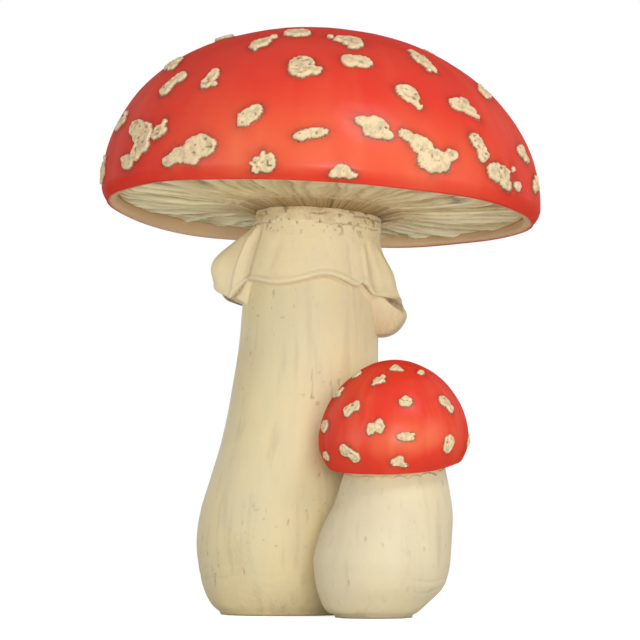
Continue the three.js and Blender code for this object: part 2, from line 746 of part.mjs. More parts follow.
const largeStemGeometry = cutFrom(joinedTo(largeOuter, [largeSpigot]), [
  largeHollow,
  recessBore,
  rodBore,
  plugHole,
  ...linkHoles,
]);
toadstools.add(namedMesh("large_stem", largeStemGeometry, stemCream));
const largePlugBar = bar(largePlug.radius, plugBottom, plugBottom + largePlug.thickness);
largePlugBar.translate(rodAtFoot.x, rodAtFoot.y, 0);
toadstools.add(namedMesh("large_base_plug", largePlugBar, plugGrey));

// Skirt, with the stem and a gap cut out of it where it hugs the neck.
const swollenStem = stemGeometry(largeCap, largeStem, largeCurve, seatGap, padThickness, stemTop);
toadstools.add(namedMesh("large_skirt", cutFrom(skirtGeometry(largeCurve), [swollenStem]), stemCream));

// Small cap, its veil disc, and the dowel that pins them to the stem.
const smallLevels = discLevels(smallCap, veilDisc);
const smallHead = new THREE.Group();
smallHead.applyMatrix4(capFrame(smallCap));
toadstools.add(smallHead);
const allSmallPatches = [...smallPatches, ...hiddenPatchList(hiddenPatches.small, smallCap)];
smallHead.add(namedMesh("small_cap", capGeometry(smallCap, veilDisc, allSmallPatches, 7), capRed));
const dowelTop = smallLevels.neck + dowel.intoCap;
const dowelHole = bar(dowel.radius + seatGap, -dowel.intoStem - seatGap, dowelTop + seatGap);
const veilGeometry = discGeometry(smallCap, veilDisc, smallStem, [dowelHole]);
smallHead.add(namedMesh("small_veil_disc", veilGeometry, gillCream));
smallHead.add(namedMesh("small_dowel", bar(dowel.radius, -dowel.intoStem, dowelTop), steel));

// Small stem, scribed to the large one.
const smallTop = smallCurve.at(-1).z;
const smallFloorTop = plugBottom + smallPlug.thickness + seatGap;
const smallOuter = stemGeometry(smallCap, smallStem, smallCurve, 0, padThickness, smallTop);
const smallHollow = stemGeometry(
  smallCap,
  smallStem,
  smallCurve,
  -smallStem.wall,
  smallFloorTop,
  smallTop - smallStem.neckDepth,
);
const smallPlugHole = bar(smallPlug.radius + seatGap, -throughCut, smallFloorTop + throughCut);
smallPlugHole.translate(smallCap.x + smallStem.footLean, smallCap.y, 0);
const smallStemGeometry = cutFrom(smallOuter, [
  smallHollow,
  smallPlugHole,
  inGround(dowelHole, smallCap),
  swollenStem,
  ...linkHoles,
]);
toadstools.add(namedMesh("small_stem", smallStemGeometry, stemCream));
const smallPlugBar = bar(smallPlug.radius, plugBottom, plugBottom + smallPlug.thickness);
smallPlugBar.translate(smallCap.x + smallStem.footLean, smallCap.y, 0);
toadstools.add(namedMesh("small_base_plug", smallPlugBar, plugGrey));

// Felt pads that the pair stands on.
function padUnder(name, cap, stem) {
  const pad = bar(stem.footRadius - padMargin, 0, padThickness - seatGap, capSides);
  pad.translate(cap.x + stem.footLean, cap.y, 0);
  toadstools.add(namedMesh(name, pad, felt));
}
padUnder("large_base_pad", largeCap, largeStem);
padUnder("small_base_pad", smallCap, smallStem);

export default toadstools;
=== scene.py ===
# %% [markdown]
# # A painted toadstool pair
# The real thing is a pair of cast toadstools, painted by hand: a wide red cap with cream
# patches, folded gills set back inside its lip, a torn skirt that hangs from the neck, and a
# swollen stem with a small toadstool nested against it.
# The pieces were designed at full size already, so this lesson starts by loading them as a
# fixed frame. Everything that is modelled here is finer skin for those same pieces, and it sits
# where they sit. Lengths are written in millimetres and turned to metres as a mesh is made, and
# only the camera, the lamps and the floor are in metres.
# A bearing is an angle round an upright axis in degrees: 180 is left, 270 faces the camera and
# 360 is right.

# %% Load the frame
import math

import bpy
import numpy as np
from mathutils import Matrix, Vector
from mathutils.kdtree import KDTree


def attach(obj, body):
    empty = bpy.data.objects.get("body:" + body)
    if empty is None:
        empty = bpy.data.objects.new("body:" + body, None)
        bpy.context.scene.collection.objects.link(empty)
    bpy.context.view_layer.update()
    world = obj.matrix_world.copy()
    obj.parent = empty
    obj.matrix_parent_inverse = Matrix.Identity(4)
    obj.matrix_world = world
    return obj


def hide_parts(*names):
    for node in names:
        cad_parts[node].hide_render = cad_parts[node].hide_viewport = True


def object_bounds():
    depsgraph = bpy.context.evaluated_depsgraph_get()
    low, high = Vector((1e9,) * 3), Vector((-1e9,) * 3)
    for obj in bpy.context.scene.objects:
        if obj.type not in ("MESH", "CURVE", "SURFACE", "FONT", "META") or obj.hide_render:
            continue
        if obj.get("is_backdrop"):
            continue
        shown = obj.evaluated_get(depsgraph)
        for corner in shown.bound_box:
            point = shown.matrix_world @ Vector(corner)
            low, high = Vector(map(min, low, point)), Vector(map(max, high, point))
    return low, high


MM = 0.001
BODY = "root"

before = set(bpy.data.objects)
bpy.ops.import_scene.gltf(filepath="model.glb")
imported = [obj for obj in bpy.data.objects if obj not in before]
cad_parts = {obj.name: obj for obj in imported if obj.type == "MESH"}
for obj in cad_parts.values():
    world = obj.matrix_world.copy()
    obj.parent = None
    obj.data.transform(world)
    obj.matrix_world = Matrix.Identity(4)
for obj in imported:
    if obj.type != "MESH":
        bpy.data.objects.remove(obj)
cad_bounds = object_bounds()

# %% [markdown]
# ## Camera, light and floor
# The photograph was taken from low down and far off, so the cap shows its gills and the pair
# is hardly distorted. The camera stands 41 mm above the ground, looks up a little, and has a
# long lens. A low lamp near the camera does most of the work and reaches the gills, a high one
# draws the broad soft highlight on the red, and weak ones fill the sides and the back.
# The world is white to the camera and to glossy rays, but lights the object only gently, so that
# cream paint stays cream. The floor glows to the camera alone, and keeps its shadow.

# %% Camera
CAMERA_DISTANCE = 1.587
CAMERA_HEIGHT = 0.0407
CAMERA_PITCH = math.radians(5.83)
CAMERA_LENS = 129.4
CAMERA_SENSOR = 36.0

camera_data = bpy.data.cameras.new("photo_camera")
camera_data.lens = CAMERA_LENS
camera_data.sensor_width = CAMERA_SENSOR
camera = bpy.data.objects.new("photo_camera", camera_data)
camera.location = (0, -CAMERA_DISTANCE, CAMERA_HEIGHT)
camera.rotation_euler = (math.pi / 2 + CAMERA_PITCH, 0, 0)
bpy.context.collection.objects.link(camera)
bpy.context.scene.camera = camera
bpy.context.scene.view_settings.view_transform = "Standard"
print("camera lens", CAMERA_LENS, "mm at", CAMERA_DISTANCE, "m")

# %% Lamps
LIGHT_TARGET = Vector((0, 0, 0.2))
# Each lamp is (place, width, power).
LAMPS = {
    "low_front_lamp": ((0.16, -1.50, 0.09), 0.6, 12.0),
    "high_front_lamp": ((0.60, -1.10, 1.25), 0.5, 6.6),
    "left_lamp": ((-1.35, -0.95, 0.26), 0.8, 4.0),
    "right_lamp": ((1.40, -0.85, 0.26), 0.8, 3.4),
    "left_back_lamp": ((-1.0, 1.4, 0.9), 1.0, 3.0),
    "right_back_lamp": ((1.1, 1.3, 0.9), 1.0, 2.6),
}


def soft_lamp(name, place, width, power):
    """A square area lamp that faces the middle of the object."""
    data = bpy.data.lights.new(name, "AREA")
    data.size = width
    data.energy = power
    lamp = bpy.data.objects.new(name, data)
    lamp.location = place
    lamp.rotation_euler = (LIGHT_TARGET - Vector(place)).to_track_quat("-Z", "Y").to_euler()
    bpy.context.collection.objects.link(lamp)


for name, (place, width, power) in LAMPS.items():
    soft_lamp(name, place, width, power)
print("lamps:", len(bpy.data.lights))

# %% Node helpers


def wire(tree, source, target):
    """Joins an output socket to an input socket."""
    tree.links.new(source, target)


def add_node(tree, kind, **values):
    """Adds a node and sets properties, or inputs where the name is an input's."""
    node = tree.nodes.new(kind)
    for name, value in values.items():
        if hasattr(node, name):
            setattr(node, name, value)
        else:
            node.inputs[name.replace("_", " ")].default_value = value
    return node


def feed(tree, value, target):
    """Sets an input to a number, or joins it to a socket."""
    if isinstance(value, (int, float)):
        target.default_value = value
    else:
        wire(tree, value, target)


def maths(tree, operation, *values, clamp=False):
    """One Math node. Each value is a socket or a number."""
    node = add_node(tree, "ShaderNodeMath", operation=operation, use_clamp=clamp)
    for target, value in zip(node.inputs, values):
        feed(tree, value, target)
    return node.outputs[0]


def map_range(tree, value, low, high, start=0.0, stop=1.0):
    """Turns low..high into start..stop, and holds it there beyond."""
    node = add_node(tree, "ShaderNodeMapRange", From_Min=low, From_Max=high, To_Min=start, To_Max=stop)
    wire(tree, value, node.inputs["Value"])
    return node.outputs["Result"]


print("node helpers:", [helper.__name__ for helper in (wire, add_node, feed, maths, map_range)])

# %% World
WORLD_LIGHT = 0.28
WHITE = (1, 1, 1, 1)

world = bpy.data.worlds.new("studio")
world.use_nodes = True
bpy.context.scene.world = world
world_tree = world.node_tree
rays = add_node(world_tree, "ShaderNodeLightPath")
seen = maths(world_tree, "MAXIMUM", rays.outputs["Is Camera Ray"], rays.outputs["Is Glossy Ray"])
seen = maths(world_tree, "MAXIMUM", seen, rays.outputs["Is Transmission Ray"])
strength = maths(world_tree, "MULTIPLY_ADD", seen, 1 - WORLD_LIGHT, WORLD_LIGHT)
background = world_tree.nodes["Background"]
background.inputs["Color"].default_value = WHITE
wire(world_tree, strength, background.inputs["Strength"])
print("the world lights the object at", WORLD_LIGHT, "of white")

# %% Floor
FLOOR_SIZE = 8.0
FLOOR_GLOW = 0.70
FLOOR_COLOUR = (0.86, 0.86, 0.85, 1)
FLOOR_ROUGHNESS = 0.8

floor_mesh = bpy.data.meshes.new("floor")
half = FLOOR_SIZE / 2
floor_corners = [(-half, -half, 0), (half, -half, 0), (half, half, 0), (-half, half, 0)]
floor_mesh.from_pydata(floor_corners, [], [(0, 1, 2, 3)])
floor = bpy.data.objects.new("floor", floor_mesh)
bpy.context.collection.objects.link(floor)
floor_material = bpy.data.materials.new("pale_floor")
floor_material.use_nodes = True
floor_tree = floor_material.node_tree
floor_shader = floor_tree.nodes["Principled BSDF"]
floor_shader.inputs["Base Color"].default_value = FLOOR_COLOUR
floor_shader.inputs["Roughness"].default_value = FLOOR_ROUGHNESS
floor_shader.inputs["Emission Color"].default_value = WHITE
floor_rays = add_node(floor_tree, "ShaderNodeLightPath")
glow = maths(floor_tree, "MULTIPLY", floor_rays.outputs["Is Camera Ray"], FLOOR_GLOW)
wire(floor_tree, glow, floor_shader.inputs["Emission Strength"])
floor_mesh.materials.append(floor_material)
floor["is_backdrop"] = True
print("floor is", FLOOR_SIZE, "m wide")

# %% [markdown]
# ## Noise and meshes from rows of points
# Every skin here is a sheet of points, row by row, that closes into one solid. Writing it with
# arrays keeps it quick, and lets a rule decide each point: a dome, a turned stem, a hanging
# sheet. Cast and hand-worked surfaces are never smooth, so one small noise function with a
# fixed seed roughens them all in the same way on every run.

# %% Repeatable noise
# Large odd numbers that scatter the values of neighbouring cells, and the shifts between them.
CELL_FACTORS = (73856093, 19349663, 83492791)
SEED_FACTOR = 2654435761
STIRS = ((15, 2246822519), (13, 3266489917))
HIGHEST_VALUE = 0xFFFF
# Each finer layer of noise is moved by this much, so that the layers don't line up.
LAYER_SHIFT = 17.3


def lattice_value(cells, seed):
    """A fixed value from 0 to 1 for each whole-number cell."""
    keys = cells.astype(np.int64).astype(np.uint64)
    stirred = np.full(keys.shape[:-1], seed * SEED_FACTOR % 2**32, np.uint64)
    for axis, factor in enumerate(CELL_FACTORS):
        stirred ^= keys[..., axis] * np.uint64(factor)
    for shift, factor in STIRS:
        stirred = (stirred ^ (stirred >> np.uint64(shift))) * np.uint64(factor)
    return ((stirred >> np.uint64(16)) & np.uint64(HIGHEST_VALUE)).astype(float) / HIGHEST_VALUE


def noise(points, size, seed, octaves=1):
    """Smooth noise from -1 to 1. size is the width of one lump, in the points' own unit."""
    total = np.zeros(points.shape[:-1])
    strength = 1.0
    weight_sum = 0.0
    for octave in range(octaves):
        scaled = points / (size / 2**octave) + LAYER_SHIFT * octave
        base = np.floor(scaled)
        part = scaled - base
        fade = part * part * (3 - 2 * part)
        layer = np.zeros(points.shape[:-1])
        for corner in np.ndindex(2, 2, 2):
            weight = np.prod(np.where(np.array(corner) == 1, fade, 1 - fade), axis=-1)
            layer += weight * lattice_value(base + np.array(corner), seed + octave)
        total += strength * (2 * layer - 1)
        weight_sum += strength
        strength *= 0.5
    return total / weight_sum


def smoothstep(low, high, value):
    """0 below low, 1 above high, and a soft step between."""
    share = np.clip((value - low) / (high - low), 0, 1)
    return share * share * (3 - 2 * share)


def bump(value, middle, width):
    """1 at the middle, falling to nothing on both sides."""
    return np.exp(-(((value - middle) / width) ** 2))


def squeezed(points, share):
    """Points with their heights squeezed to a share, so that noise on them runs up and down."""
    return points * np.array([1, 1, share])


sample_places = np.array([[0.3, 0.0, 0.0], [0.6, 0.0, 0.0], [0.9, 0.0, 0.0]])
print("noise at three places:", noise(sample_places, 1.0, seed=1).round(3))

# %% Rings and meshes from rows
UPRIGHT = np.array([0, 0, 1])


def circle_at(angle):
    """Places on the unit circle. The angle is in radians."""
    return np.stack([np.cos(angle), np.sin(angle), 0 * angle], axis=-1)


def rings(circle, radius, height):
    """Points round an upright axis, from places on the unit circle, radii and heights."""
    return circle * np.asarray(radius)[..., None] + UPRIGHT * np.asarray(height)[..., None]


def skin_arrays(rows, start=None, end=None):
    """Points and faces of a closed skin. Without end points the last row meets the first."""
    count, sides, _ = rows.shape
    row = np.arange(count if start is None else count - 1)[:, None]
    side = np.arange(sides)[None, :]
    beside = (side + 1) % sides
    below = (row + 1) % count
    corners = [row * sides + side, row * sides + beside, below * sides + beside, below * sides + side]
    faces = np.stack(corners, axis=-1).reshape(-1, 4).tolist()
    points = rows.reshape(-1, 3)
    if start is not None:
        first = len(points)
        points = np.vstack([points, start, end])
        bottom = (count - 1) * sides
        for side in range(sides):
            beside = (side + 1) % sides
            faces.append((first, beside, side))
            faces.append((first + 1, bottom + side, bottom + beside))
    return points, faces


def make_outward(mesh):
    """Turns the faces round if the closed mesh is inside out."""
    mesh.calc_loop_triangles()
    points = np.empty(len(mesh.vertices) * 3, np.float32)
    mesh.vertices.foreach_get("co", points)
    corners = np.empty(len(mesh.loop_triangles) * 3, np.int32)
    mesh.loop_triangles.foreach_get("vertices", corners)
    first, second, third = points.reshape(-1, 3)[corners.reshape(-1, 3)].transpose(1, 0, 2)
    volume = np.einsum("ij,ij->", first, np.cross(second, third))
    if volume < 0:
        mesh.flip_normals()


def new_piece(name, points, faces, material, marks):
    """A smooth mesh object in metres. marks are named values, one for each point."""
    mesh = bpy.data.meshes.new(name)
    mesh.from_pydata((points * MM).tolist(), [], faces)
    for mark, values in marks.items():
        layer = mesh.attributes.new(mark, "FLOAT", "POINT")
        layer.data.foreach_set("value", np.asarray(values, np.float32).ravel())
    mesh.polygons.foreach_set("use_smooth", np.ones(len(mesh.polygons), bool))
    mesh.materials.append(material)
    piece = bpy.data.objects.new(name, mesh)
    bpy.context.collection.objects.link(piece)
    make_outward(mesh)
    return piece


def finish_piece(piece, slot, *nodes):
    """The piece moves with the one body, and stands for these nodes."""
    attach(piece, BODY)
    if nodes:
        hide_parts(*nodes)
    print(piece.name, len(piece.data.polygons), "faces")


# %% [markdown]
# ## Paints
# The toadstools are painted, so each finish is paint over a cast surface: a base colour that
# wanders towards a tint, a second colour where the painter put one, a dark layer that is brown
# wash in the hollows and also painted shade and shadow, and a few dark specks. The tint also
# carries painted highlights, on the gill crests and low on the front of the red. All of them
# share that recipe, so it is one node group that puts out a colour and a grain. Where each layer
# lies comes from values that the mesh carries, because the painter followed the shape.

# %% Inputs of the shared paint
# Base wanders to Tint, which also carries painted highlights. Second lies over both, and the dark
# layer of wash and painted shade lies over everything. A mask says where.
PAINT_COLOURS = ("Base", "Tint", "Second", "Wash")
PAINT_NUMBERS = {
    "Broad Scale": 40.0,
    "Grain Scale": 600.0,
    "Tint Amount": 0.5,
    "Tint Mask": 0.0,
    "Second Mask": 0.0,
    "Wash Mask": 0.0,
    "Specks": 0.0,
}
# Noise stays near 0.5, so each range says where an effect starts and where it is full.
TINT_RANGE = (0.38, 0.64)
SPECKLE_RANGE = (0.35, 0.70)
SPECK_RANGE = (0.74, 0.80)
# Dark specks come from noise at this share of the grain's scale, so they are wider and rarer.
SPECK_SCALE = 0.31
NOISE_ROUGHNESS = 0.62


def mixed(tree, amount, first, second):
    """A colour between two, by a mask."""
    node = add_node(tree, "ShaderNodeMix", data_type="RGBA")
    wire(tree, amount, node.inputs["Factor"])
    wire(tree, first, node.inputs["A"])
    wire(tree, second, node.inputs["B"])
    return node.outputs["Result"]


def paint_noise(tree, place, scale, detail):
    """Noise on a place. The scale is a socket, and detail is how many finer layers it has."""
    node = add_node(tree, "ShaderNodeTexNoise", Detail=detail, Roughness=NOISE_ROUGHNESS)
    wire(tree, place, node.inputs["Vector"])
    wire(tree, scale, node.inputs["Scale"])
    return node.outputs["Fac"]


print("paint inputs:", PAINT_COLOURS + tuple(PAINT_NUMBERS))

# %% Shared paint group


def add_paint_sockets(sockets):
    """The named inputs and outputs of the paint group."""
    for name in PAINT_COLOURS:
        sockets.new_socket(name, in_out="INPUT", socket_type="NodeSocketColor")
    for name, start in PAINT_NUMBERS.items():
        made = sockets.new_socket(name, in_out="INPUT", socket_type="NodeSocketFloat")
        made.default_value = start
    stretch = sockets.new_socket("Stretch", in_out="INPUT", socket_type="NodeSocketVector")
    stretch.default_value = (1, 1, 1)
    sockets.new_socket("Color", in_out="OUTPUT", socket_type="NodeSocketColor")
    sockets.new_socket("Grain", in_out="OUTPUT", socket_type="NodeSocketFloat")


def build_paint_group():
    """Four colours laid over each other by masks and noise."""
    group = bpy.data.node_groups.new("hand_paint", "ShaderNodeTree")
    add_paint_sockets(group.interface)
    given = group.nodes.new("NodeGroupInput").outputs
    wanted = group.nodes.new("NodeGroupOutput").inputs
    place = add_node(group, "ShaderNodeTexCoord")
    scaled = add_node(group, "ShaderNodeVectorMath", operation="MULTIPLY")
    wire(group, place.outputs["Object"], scaled.inputs[0])
    wire(group, given["Stretch"], scaled.inputs[1])
    broad = paint_noise(group, scaled.outputs[0], given["Broad Scale"], 4.0)
    fine = paint_noise(group, scaled.outputs[0], given["Grain Scale"], 3.0)
    speck_scale = maths(group, "MULTIPLY", given["Grain Scale"], SPECK_SCALE)
    rare = paint_noise(group, scaled.outputs[0], speck_scale, 1.0)
    wander = maths(group, "MULTIPLY", map_range(group, broad, *TINT_RANGE), given["Tint Amount"])
    tint = maths(group, "ADD", wander, given["Tint Mask"], clamp=True)
    tinted = mixed(group, tint, given["Base"], given["Tint"])
    speckle = map_range(group, fine, *SPECKLE_RANGE, 0.6, 1.25)
    second = maths(group, "MULTIPLY", given["Second Mask"], speckle, clamp=True)
    layered = mixed(group, second, tinted, given["Second"])
    specks = maths(group, "MULTIPLY", map_range(group, rare, *SPECK_RANGE), given["Specks"])
    washed_and_shaded = maths(group, "MULTIPLY_ADD", given["Wash Mask"], speckle, specks, clamp=True)
    wire(group, mixed(group, washed_and_shaded, layered, given["Wash"]), wanted["Color"])
    wire(group, fine, wanted["Grain"])
    return group


PAINT_GROUP = build_paint_group()
print("paint group has", len(PAINT_GROUP.nodes), "nodes")

# %% A painted material
# The glow mark carries orange tint and painted highlights, and the wash mark carries brown wash together
# with painted shade and shadow.
MARK_SOCKETS = {"glow": "Tint Mask", "second": "Second Mask", "wash": "Wash Mask"}
GRAIN_RANGE = (0.3, 0.7)
COAT_ROUGHNESS = 0.3
# The brushed-on varnish is dull where it is seen edge-on: over this range of Facing, its gloss
# falls to this share.
COAT_FADE_RANGE = (0.25, 0.75)
COAT_AT_EDGE = 0.2


def paint(name, colours, roughness, gloss, relief, marks, **settings):
    """A painted material. marks are the mesh values that it reads, and gloss is (specular, coat)."""
    specular, coat = gloss
    material = bpy.data.materials.new(name)
    material.use_nodes = True
    tree = material.node_tree
    shader = tree.nodes["Principled BSDF"]
    group = add_node(tree, "ShaderNodeGroup", node_tree=PAINT_GROUP)
    for socket, colour in zip(PAINT_COLOURS, colours):
        group.inputs[socket].default_value = (*colour, 1)
    for socket, value in settings.items():
        group.inputs[socket.replace("_", " ")].default_value = value
    for mark in marks:
        marked = add_node(tree, "ShaderNodeAttribute", attribute_name=mark)
        wire(tree, marked.outputs["Fac"], group.inputs[MARK_SOCKETS[mark]])
    wire(tree, group.outputs["Color"], shader.inputs["Base Color"])
    rough = map_range(tree, group.outputs["Grain"], *GRAIN_RANGE, *roughness)
    wire(tree, rough, shader.inputs["Roughness"])
    raised = add_node(tree, "ShaderNodeBump", Strength=1.0, Distance=relief * MM)
    wire(tree, group.outputs["Grain"], raised.inputs["Height"])
    wire(tree, raised.outputs["Normal"], shader.inputs["Normal"])
    shader.inputs["Specular IOR Level"].default_value = specular
    shader.inputs["Coat Roughness"].default_value = COAT_ROUGHNESS
    if coat > 0:
        edge = add_node(tree, "ShaderNodeLayerWeight", Blend=0.5)
        faded = map_range(tree, edge.outputs["Facing"], *COAT_FADE_RANGE, coat, coat * COAT_AT_EDGE)
        wire(tree, faded, shader.inputs["Coat Weight"])
    return material


print("a paint can read:", list(MARK_SOCKETS))

# %% Paints of the caps, the patches and the gills
# The four colours are base, tint, second and wash. Grain relief is in millimetres.
ALL_MARKS = ("glow", "second", "wash")

# The cap's tint is orange, and low on the front it is also a painted highlight. Its dark wash colour is
# also the painted shadow round each patch.
cap_paint = paint(
    "cap_red_paint",
    [(0.78, 0.038, 0.018), (0.86, 0.165, 0.065), (0.80, 0.56, 0.34), (0.15, 0.020, 0.008)],
    roughness=(0.50, 0.60),
    gloss=(0.0, 0.50),
    relief=0.06,
    marks=ALL_MARKS,
    Broad_Scale=16.0,
    Grain_Scale=420.0,
    Tint_Amount=0.08,
)
# The patches' dark wash colour is also the painted shadow at each patch's foot.
patch_paint = paint(
    "patch_cream_paint",
    [(0.90, 0.66, 0.42), (0.86, 0.71, 0.41), (0.62, 0.50, 0.29), (0.15, 0.050, 0.022)],
    roughness=(0.55, 0.75),
    gloss=(0.25, 0.0),
    relief=0.25,
    marks=("second", "wash"),
    Broad_Scale=90.0,
    Grain_Scale=1400.0,
    Tint_Amount=0.9,
)
# The gills' tint is the painted highlight on the crests, and their dark colour is the painted shade in the
# grooves, with dark paint in the pits.
gill_paint = paint(
    "gill_khaki_paint",
    [(0.76, 0.61, 0.31), (1.0, 0.91, 0.61), (0.48, 0.24, 0.12), (0.17, 0.10, 0.035)],
    roughness=(0.5, 0.65),
    gloss=(0.3, 0.0),
    relief=0.2,
    marks=ALL_MARKS,
    Broad_Scale=45.0,
    Grain_Scale=900.0,
    Tint_Amount=0.3,
)
print("made", cap_paint.name, patch_paint.name, gill_paint.name)

# %% Paints of the stems and the skirt
# These three are painted alike, each with its own colours and scales. The skirt's cream is lighter
# than the stem's, as painted light against the shade it hangs in under the cap.
STEM_LOOK = {
    "roughness": (0.46, 0.60),
    "gloss": (0.35, 0.0),
    "relief": 0.2,
    "marks": ("second", "wash"),
    "Tint_Amount": 0.9,
}

stem_paint = paint(
    "stem_cream_paint",
    [(0.84, 0.71, 0.41), (0.76, 0.67, 0.43), (0.54, 0.39, 0.21), (0.22, 0.14, 0.065)],
    **STEM_LOOK,
    Broad_Scale=26.0,
    Grain_Scale=700.0,
    Specks=0.4,
    Stretch=(1, 1, 0.4),
)
skirt_lit_paint = paint(
    "skirt_cream_paint",
    [(0.90, 0.77, 0.48), (0.84, 0.73, 0.49), (0.60, 0.43, 0.20), (0.24, 0.15, 0.075)],
    **STEM_LOOK,
    Broad_Scale=30.0,
    Grain_Scale=700.0,
    Specks=0.3,
    Stretch=(1, 1, 0.6),
)
small_stem_paint = paint(
    "small_stem_cream_paint",
    [(0.78, 0.68, 0.44), (0.75, 0.66, 0.45), (0.54, 0.39, 0.23), (0.24, 0.15, 0.07)],
    **STEM_LOOK,
    Broad_Scale=30.0,
    Grain_Scale=600.0,
    Specks=0.25,
    Stretch=(1, 1, 0.5),
)
paints = [material.name for material in bpy.data.materials if material.name.endswith("_paint")]
print("paints:", paints)

# %% [markdown]
# ## Cap domes
# A cap is the upper half of an egg with its edge rolled in, so a dome is best written as a
# rule: an ellipse from the apex to the widest ring, a tighter ellipse from there to the rim, and
# a rounded lip that turns up inside to the gills. A fullness of 2 is that ellipse: the large dome
# is a little boxier and the small one a little more pointed. The whole cap leans, and hangs lower
# on one side, and so each cap has a frame of its own. A climb is an angle up the dome: 0 on the
# widest ring and 90 at the apex.

# %% Cap sizes
# place is the middle of the rim, pitch and roll tilt the cap, and lean drifts its top sideways.
# rise and drop are the heights above and below the widest ring. lip is the width of the rolled
# edge, sag how far it hangs at the back, recess how far in the gills sit, and wall the thickness.
# A patch has a height, a grid step, the size of its lumps and the width of its dark ink line, which
# is also painted shadow.
LARGE_CAP = {
    "place": (0, 0, 277),
    "pitch": 0.0,
    "roll": 3.2,
    "lean": -0.03,
    "radius": 152.6,
    "rise": 116.6,
    "fullness": 2.1,
    "drop": 9.4,
    "rim_radius": 148.6,
    "lip": 7.0,
    "sag": 3.8,
    "recess": 7.0,
    "wall": 8.0,
    "relief": 0.9,
    "seed": 21,
    "patch": {"height": 1.9, "step": 0.60, "lump": 5.0, "ink": 0.65},
}
SMALL_CAP = {
    "place": (49, -83, 100.5),
    "pitch": 11.0,
    "roll": -3.5,
    "lean": 0.03,
    "radius": 49.0,
    "rise": 51.0,
    "fullness": 1.86,
    "drop": 16.5,
    "rim_radius": 43.5,
    "lip": 5.0,
    "sag": 0.0,
    "recess": 3.0,
    "wall": 6.0,
    "relief": 0.45,
    "seed": 41,
    "patch": {"height": 1.3, "step": 0.40, "lump": 3.2, "ink": 0.45},
}
print("cap radii:", LARGE_CAP["radius"], "and", SMALL_CAP["radius"], "mm")

# %% A cap's own frame


def cap_turn(cap):
    """The cap's tilt: first forward, then to one side."""
    forward = Matrix.Rotation(math.radians(cap["pitch"]), 3, "X")
    sideways = Matrix.Rotation(math.radians(cap["roll"]), 3, "Y")
    return np.array(sideways @ forward)


def to_ground(cap, points):
    """Points of the cap's own frame, in the object's frame."""
    return points @ cap_turn(cap).T + np.array(cap["place"], float)


def under_depth(cap):
    """Half height of the ellipse between the widest ring and the rim."""
    return cap["drop"] / math.sqrt(1 - (cap["rim_radius"] / cap["radius"]) ** 2)


def rim_climb(cap):
    """The climb of the rim in radians. It is below 0, because the rim is under the widest ring."""
    return -math.acos(cap["rim_radius"] / cap["radius"])


low_points = [to_ground(cap, np.array([0, 0, 0])).round(1).tolist() for cap in (LARGE_CAP, SMALL_CAP)]
print("the rims' middles are at", low_points)

# %% The dome rule


def dome(cap, bearing, climb, inset=0.0):
    """Points of the dome. Both angles are in radians."""
    bearing, climb = np.broadcast_arrays(bearing, climb)
    half_height = np.where(climb < 0, under_depth(cap), cap["rise"] - inset)
    power = np.where(climb < 0, 2, cap["fullness"])
    swell = (np.abs(np.cos(climb)) ** power + np.abs(np.sin(climb)) ** power) ** (-1 / power)
    reach = (cap["radius"] - inset) * swell * np.cos(climb)
    height = cap["drop"] + half_height * swell * np.sin(climb)
    drift = cap["lean"] * np.maximum(0, height - cap["drop"])
    return np.stack([reach * np.cos(bearing) + drift, reach * np.sin(bearing), height], axis=-1)


def dome_out(cap, bearing, climb):
    """Outward directions of the dome."""
    bearing, climb = np.broadcast_arrays(bearing, climb)
    half_height = np.where(climb < 0, under_depth(cap), cap["rise"])
    power = np.where(climb < 0, 1, cap["fullness"] - 1)
    flat = np.abs(np.cos(climb)) ** power / cap["radius"]
    steep = np.sign(climb) * np.abs(np.sin(climb)) ** power / half_height
    out = np.stack([flat * np.cos(bearing), flat * np.sin(bearing), steep], axis=-1)
    return out / np.linalg.norm(out, axis=-1, keepdims=True)


def cap_relief(cap, points):
    """How far the cast surface stands off the plain dome."""
    broad = noise(points, 0.3 * cap["radius"], cap["seed"], 2)
    return cap["relief"] * broad + 0.1 * noise(points, 6.0, cap["seed"] + 3)


# A patch's foot reaches down to this share of the rim's climb, and no lower.
LOWEST_FOOT = 0.92


def lifted(cap, points, lift):
    """Points beside the dome, dropped onto its surface and lifted off again."""
    drift = cap["lean"] * np.maximum(0, points[..., 2] - cap["drop"])
    half_height = np.where(points[..., 2] < cap["drop"], under_depth(cap), cap["rise"])
    x = (points[..., 0] - drift) / cap["radius"]
    y = points[..., 1] / cap["radius"]
    z = (points[..., 2] - cap["drop"]) / half_height
    bearing = np.arctan2(y, x)
    climb = np.maximum(np.arctan2(z, np.hypot(x, y)), rim_climb(cap) * LOWEST_FOOT)
    surface = dome(cap, bearing, climb)
    height = lift + cap_relief(cap, surface)
    return surface + dome_out(cap, bearing, climb) * height[..., None]


print("rims at climb", [round(math.degrees(rim_climb(cap)), 1) for cap in (LARGE_CAP, SMALL_CAP)])
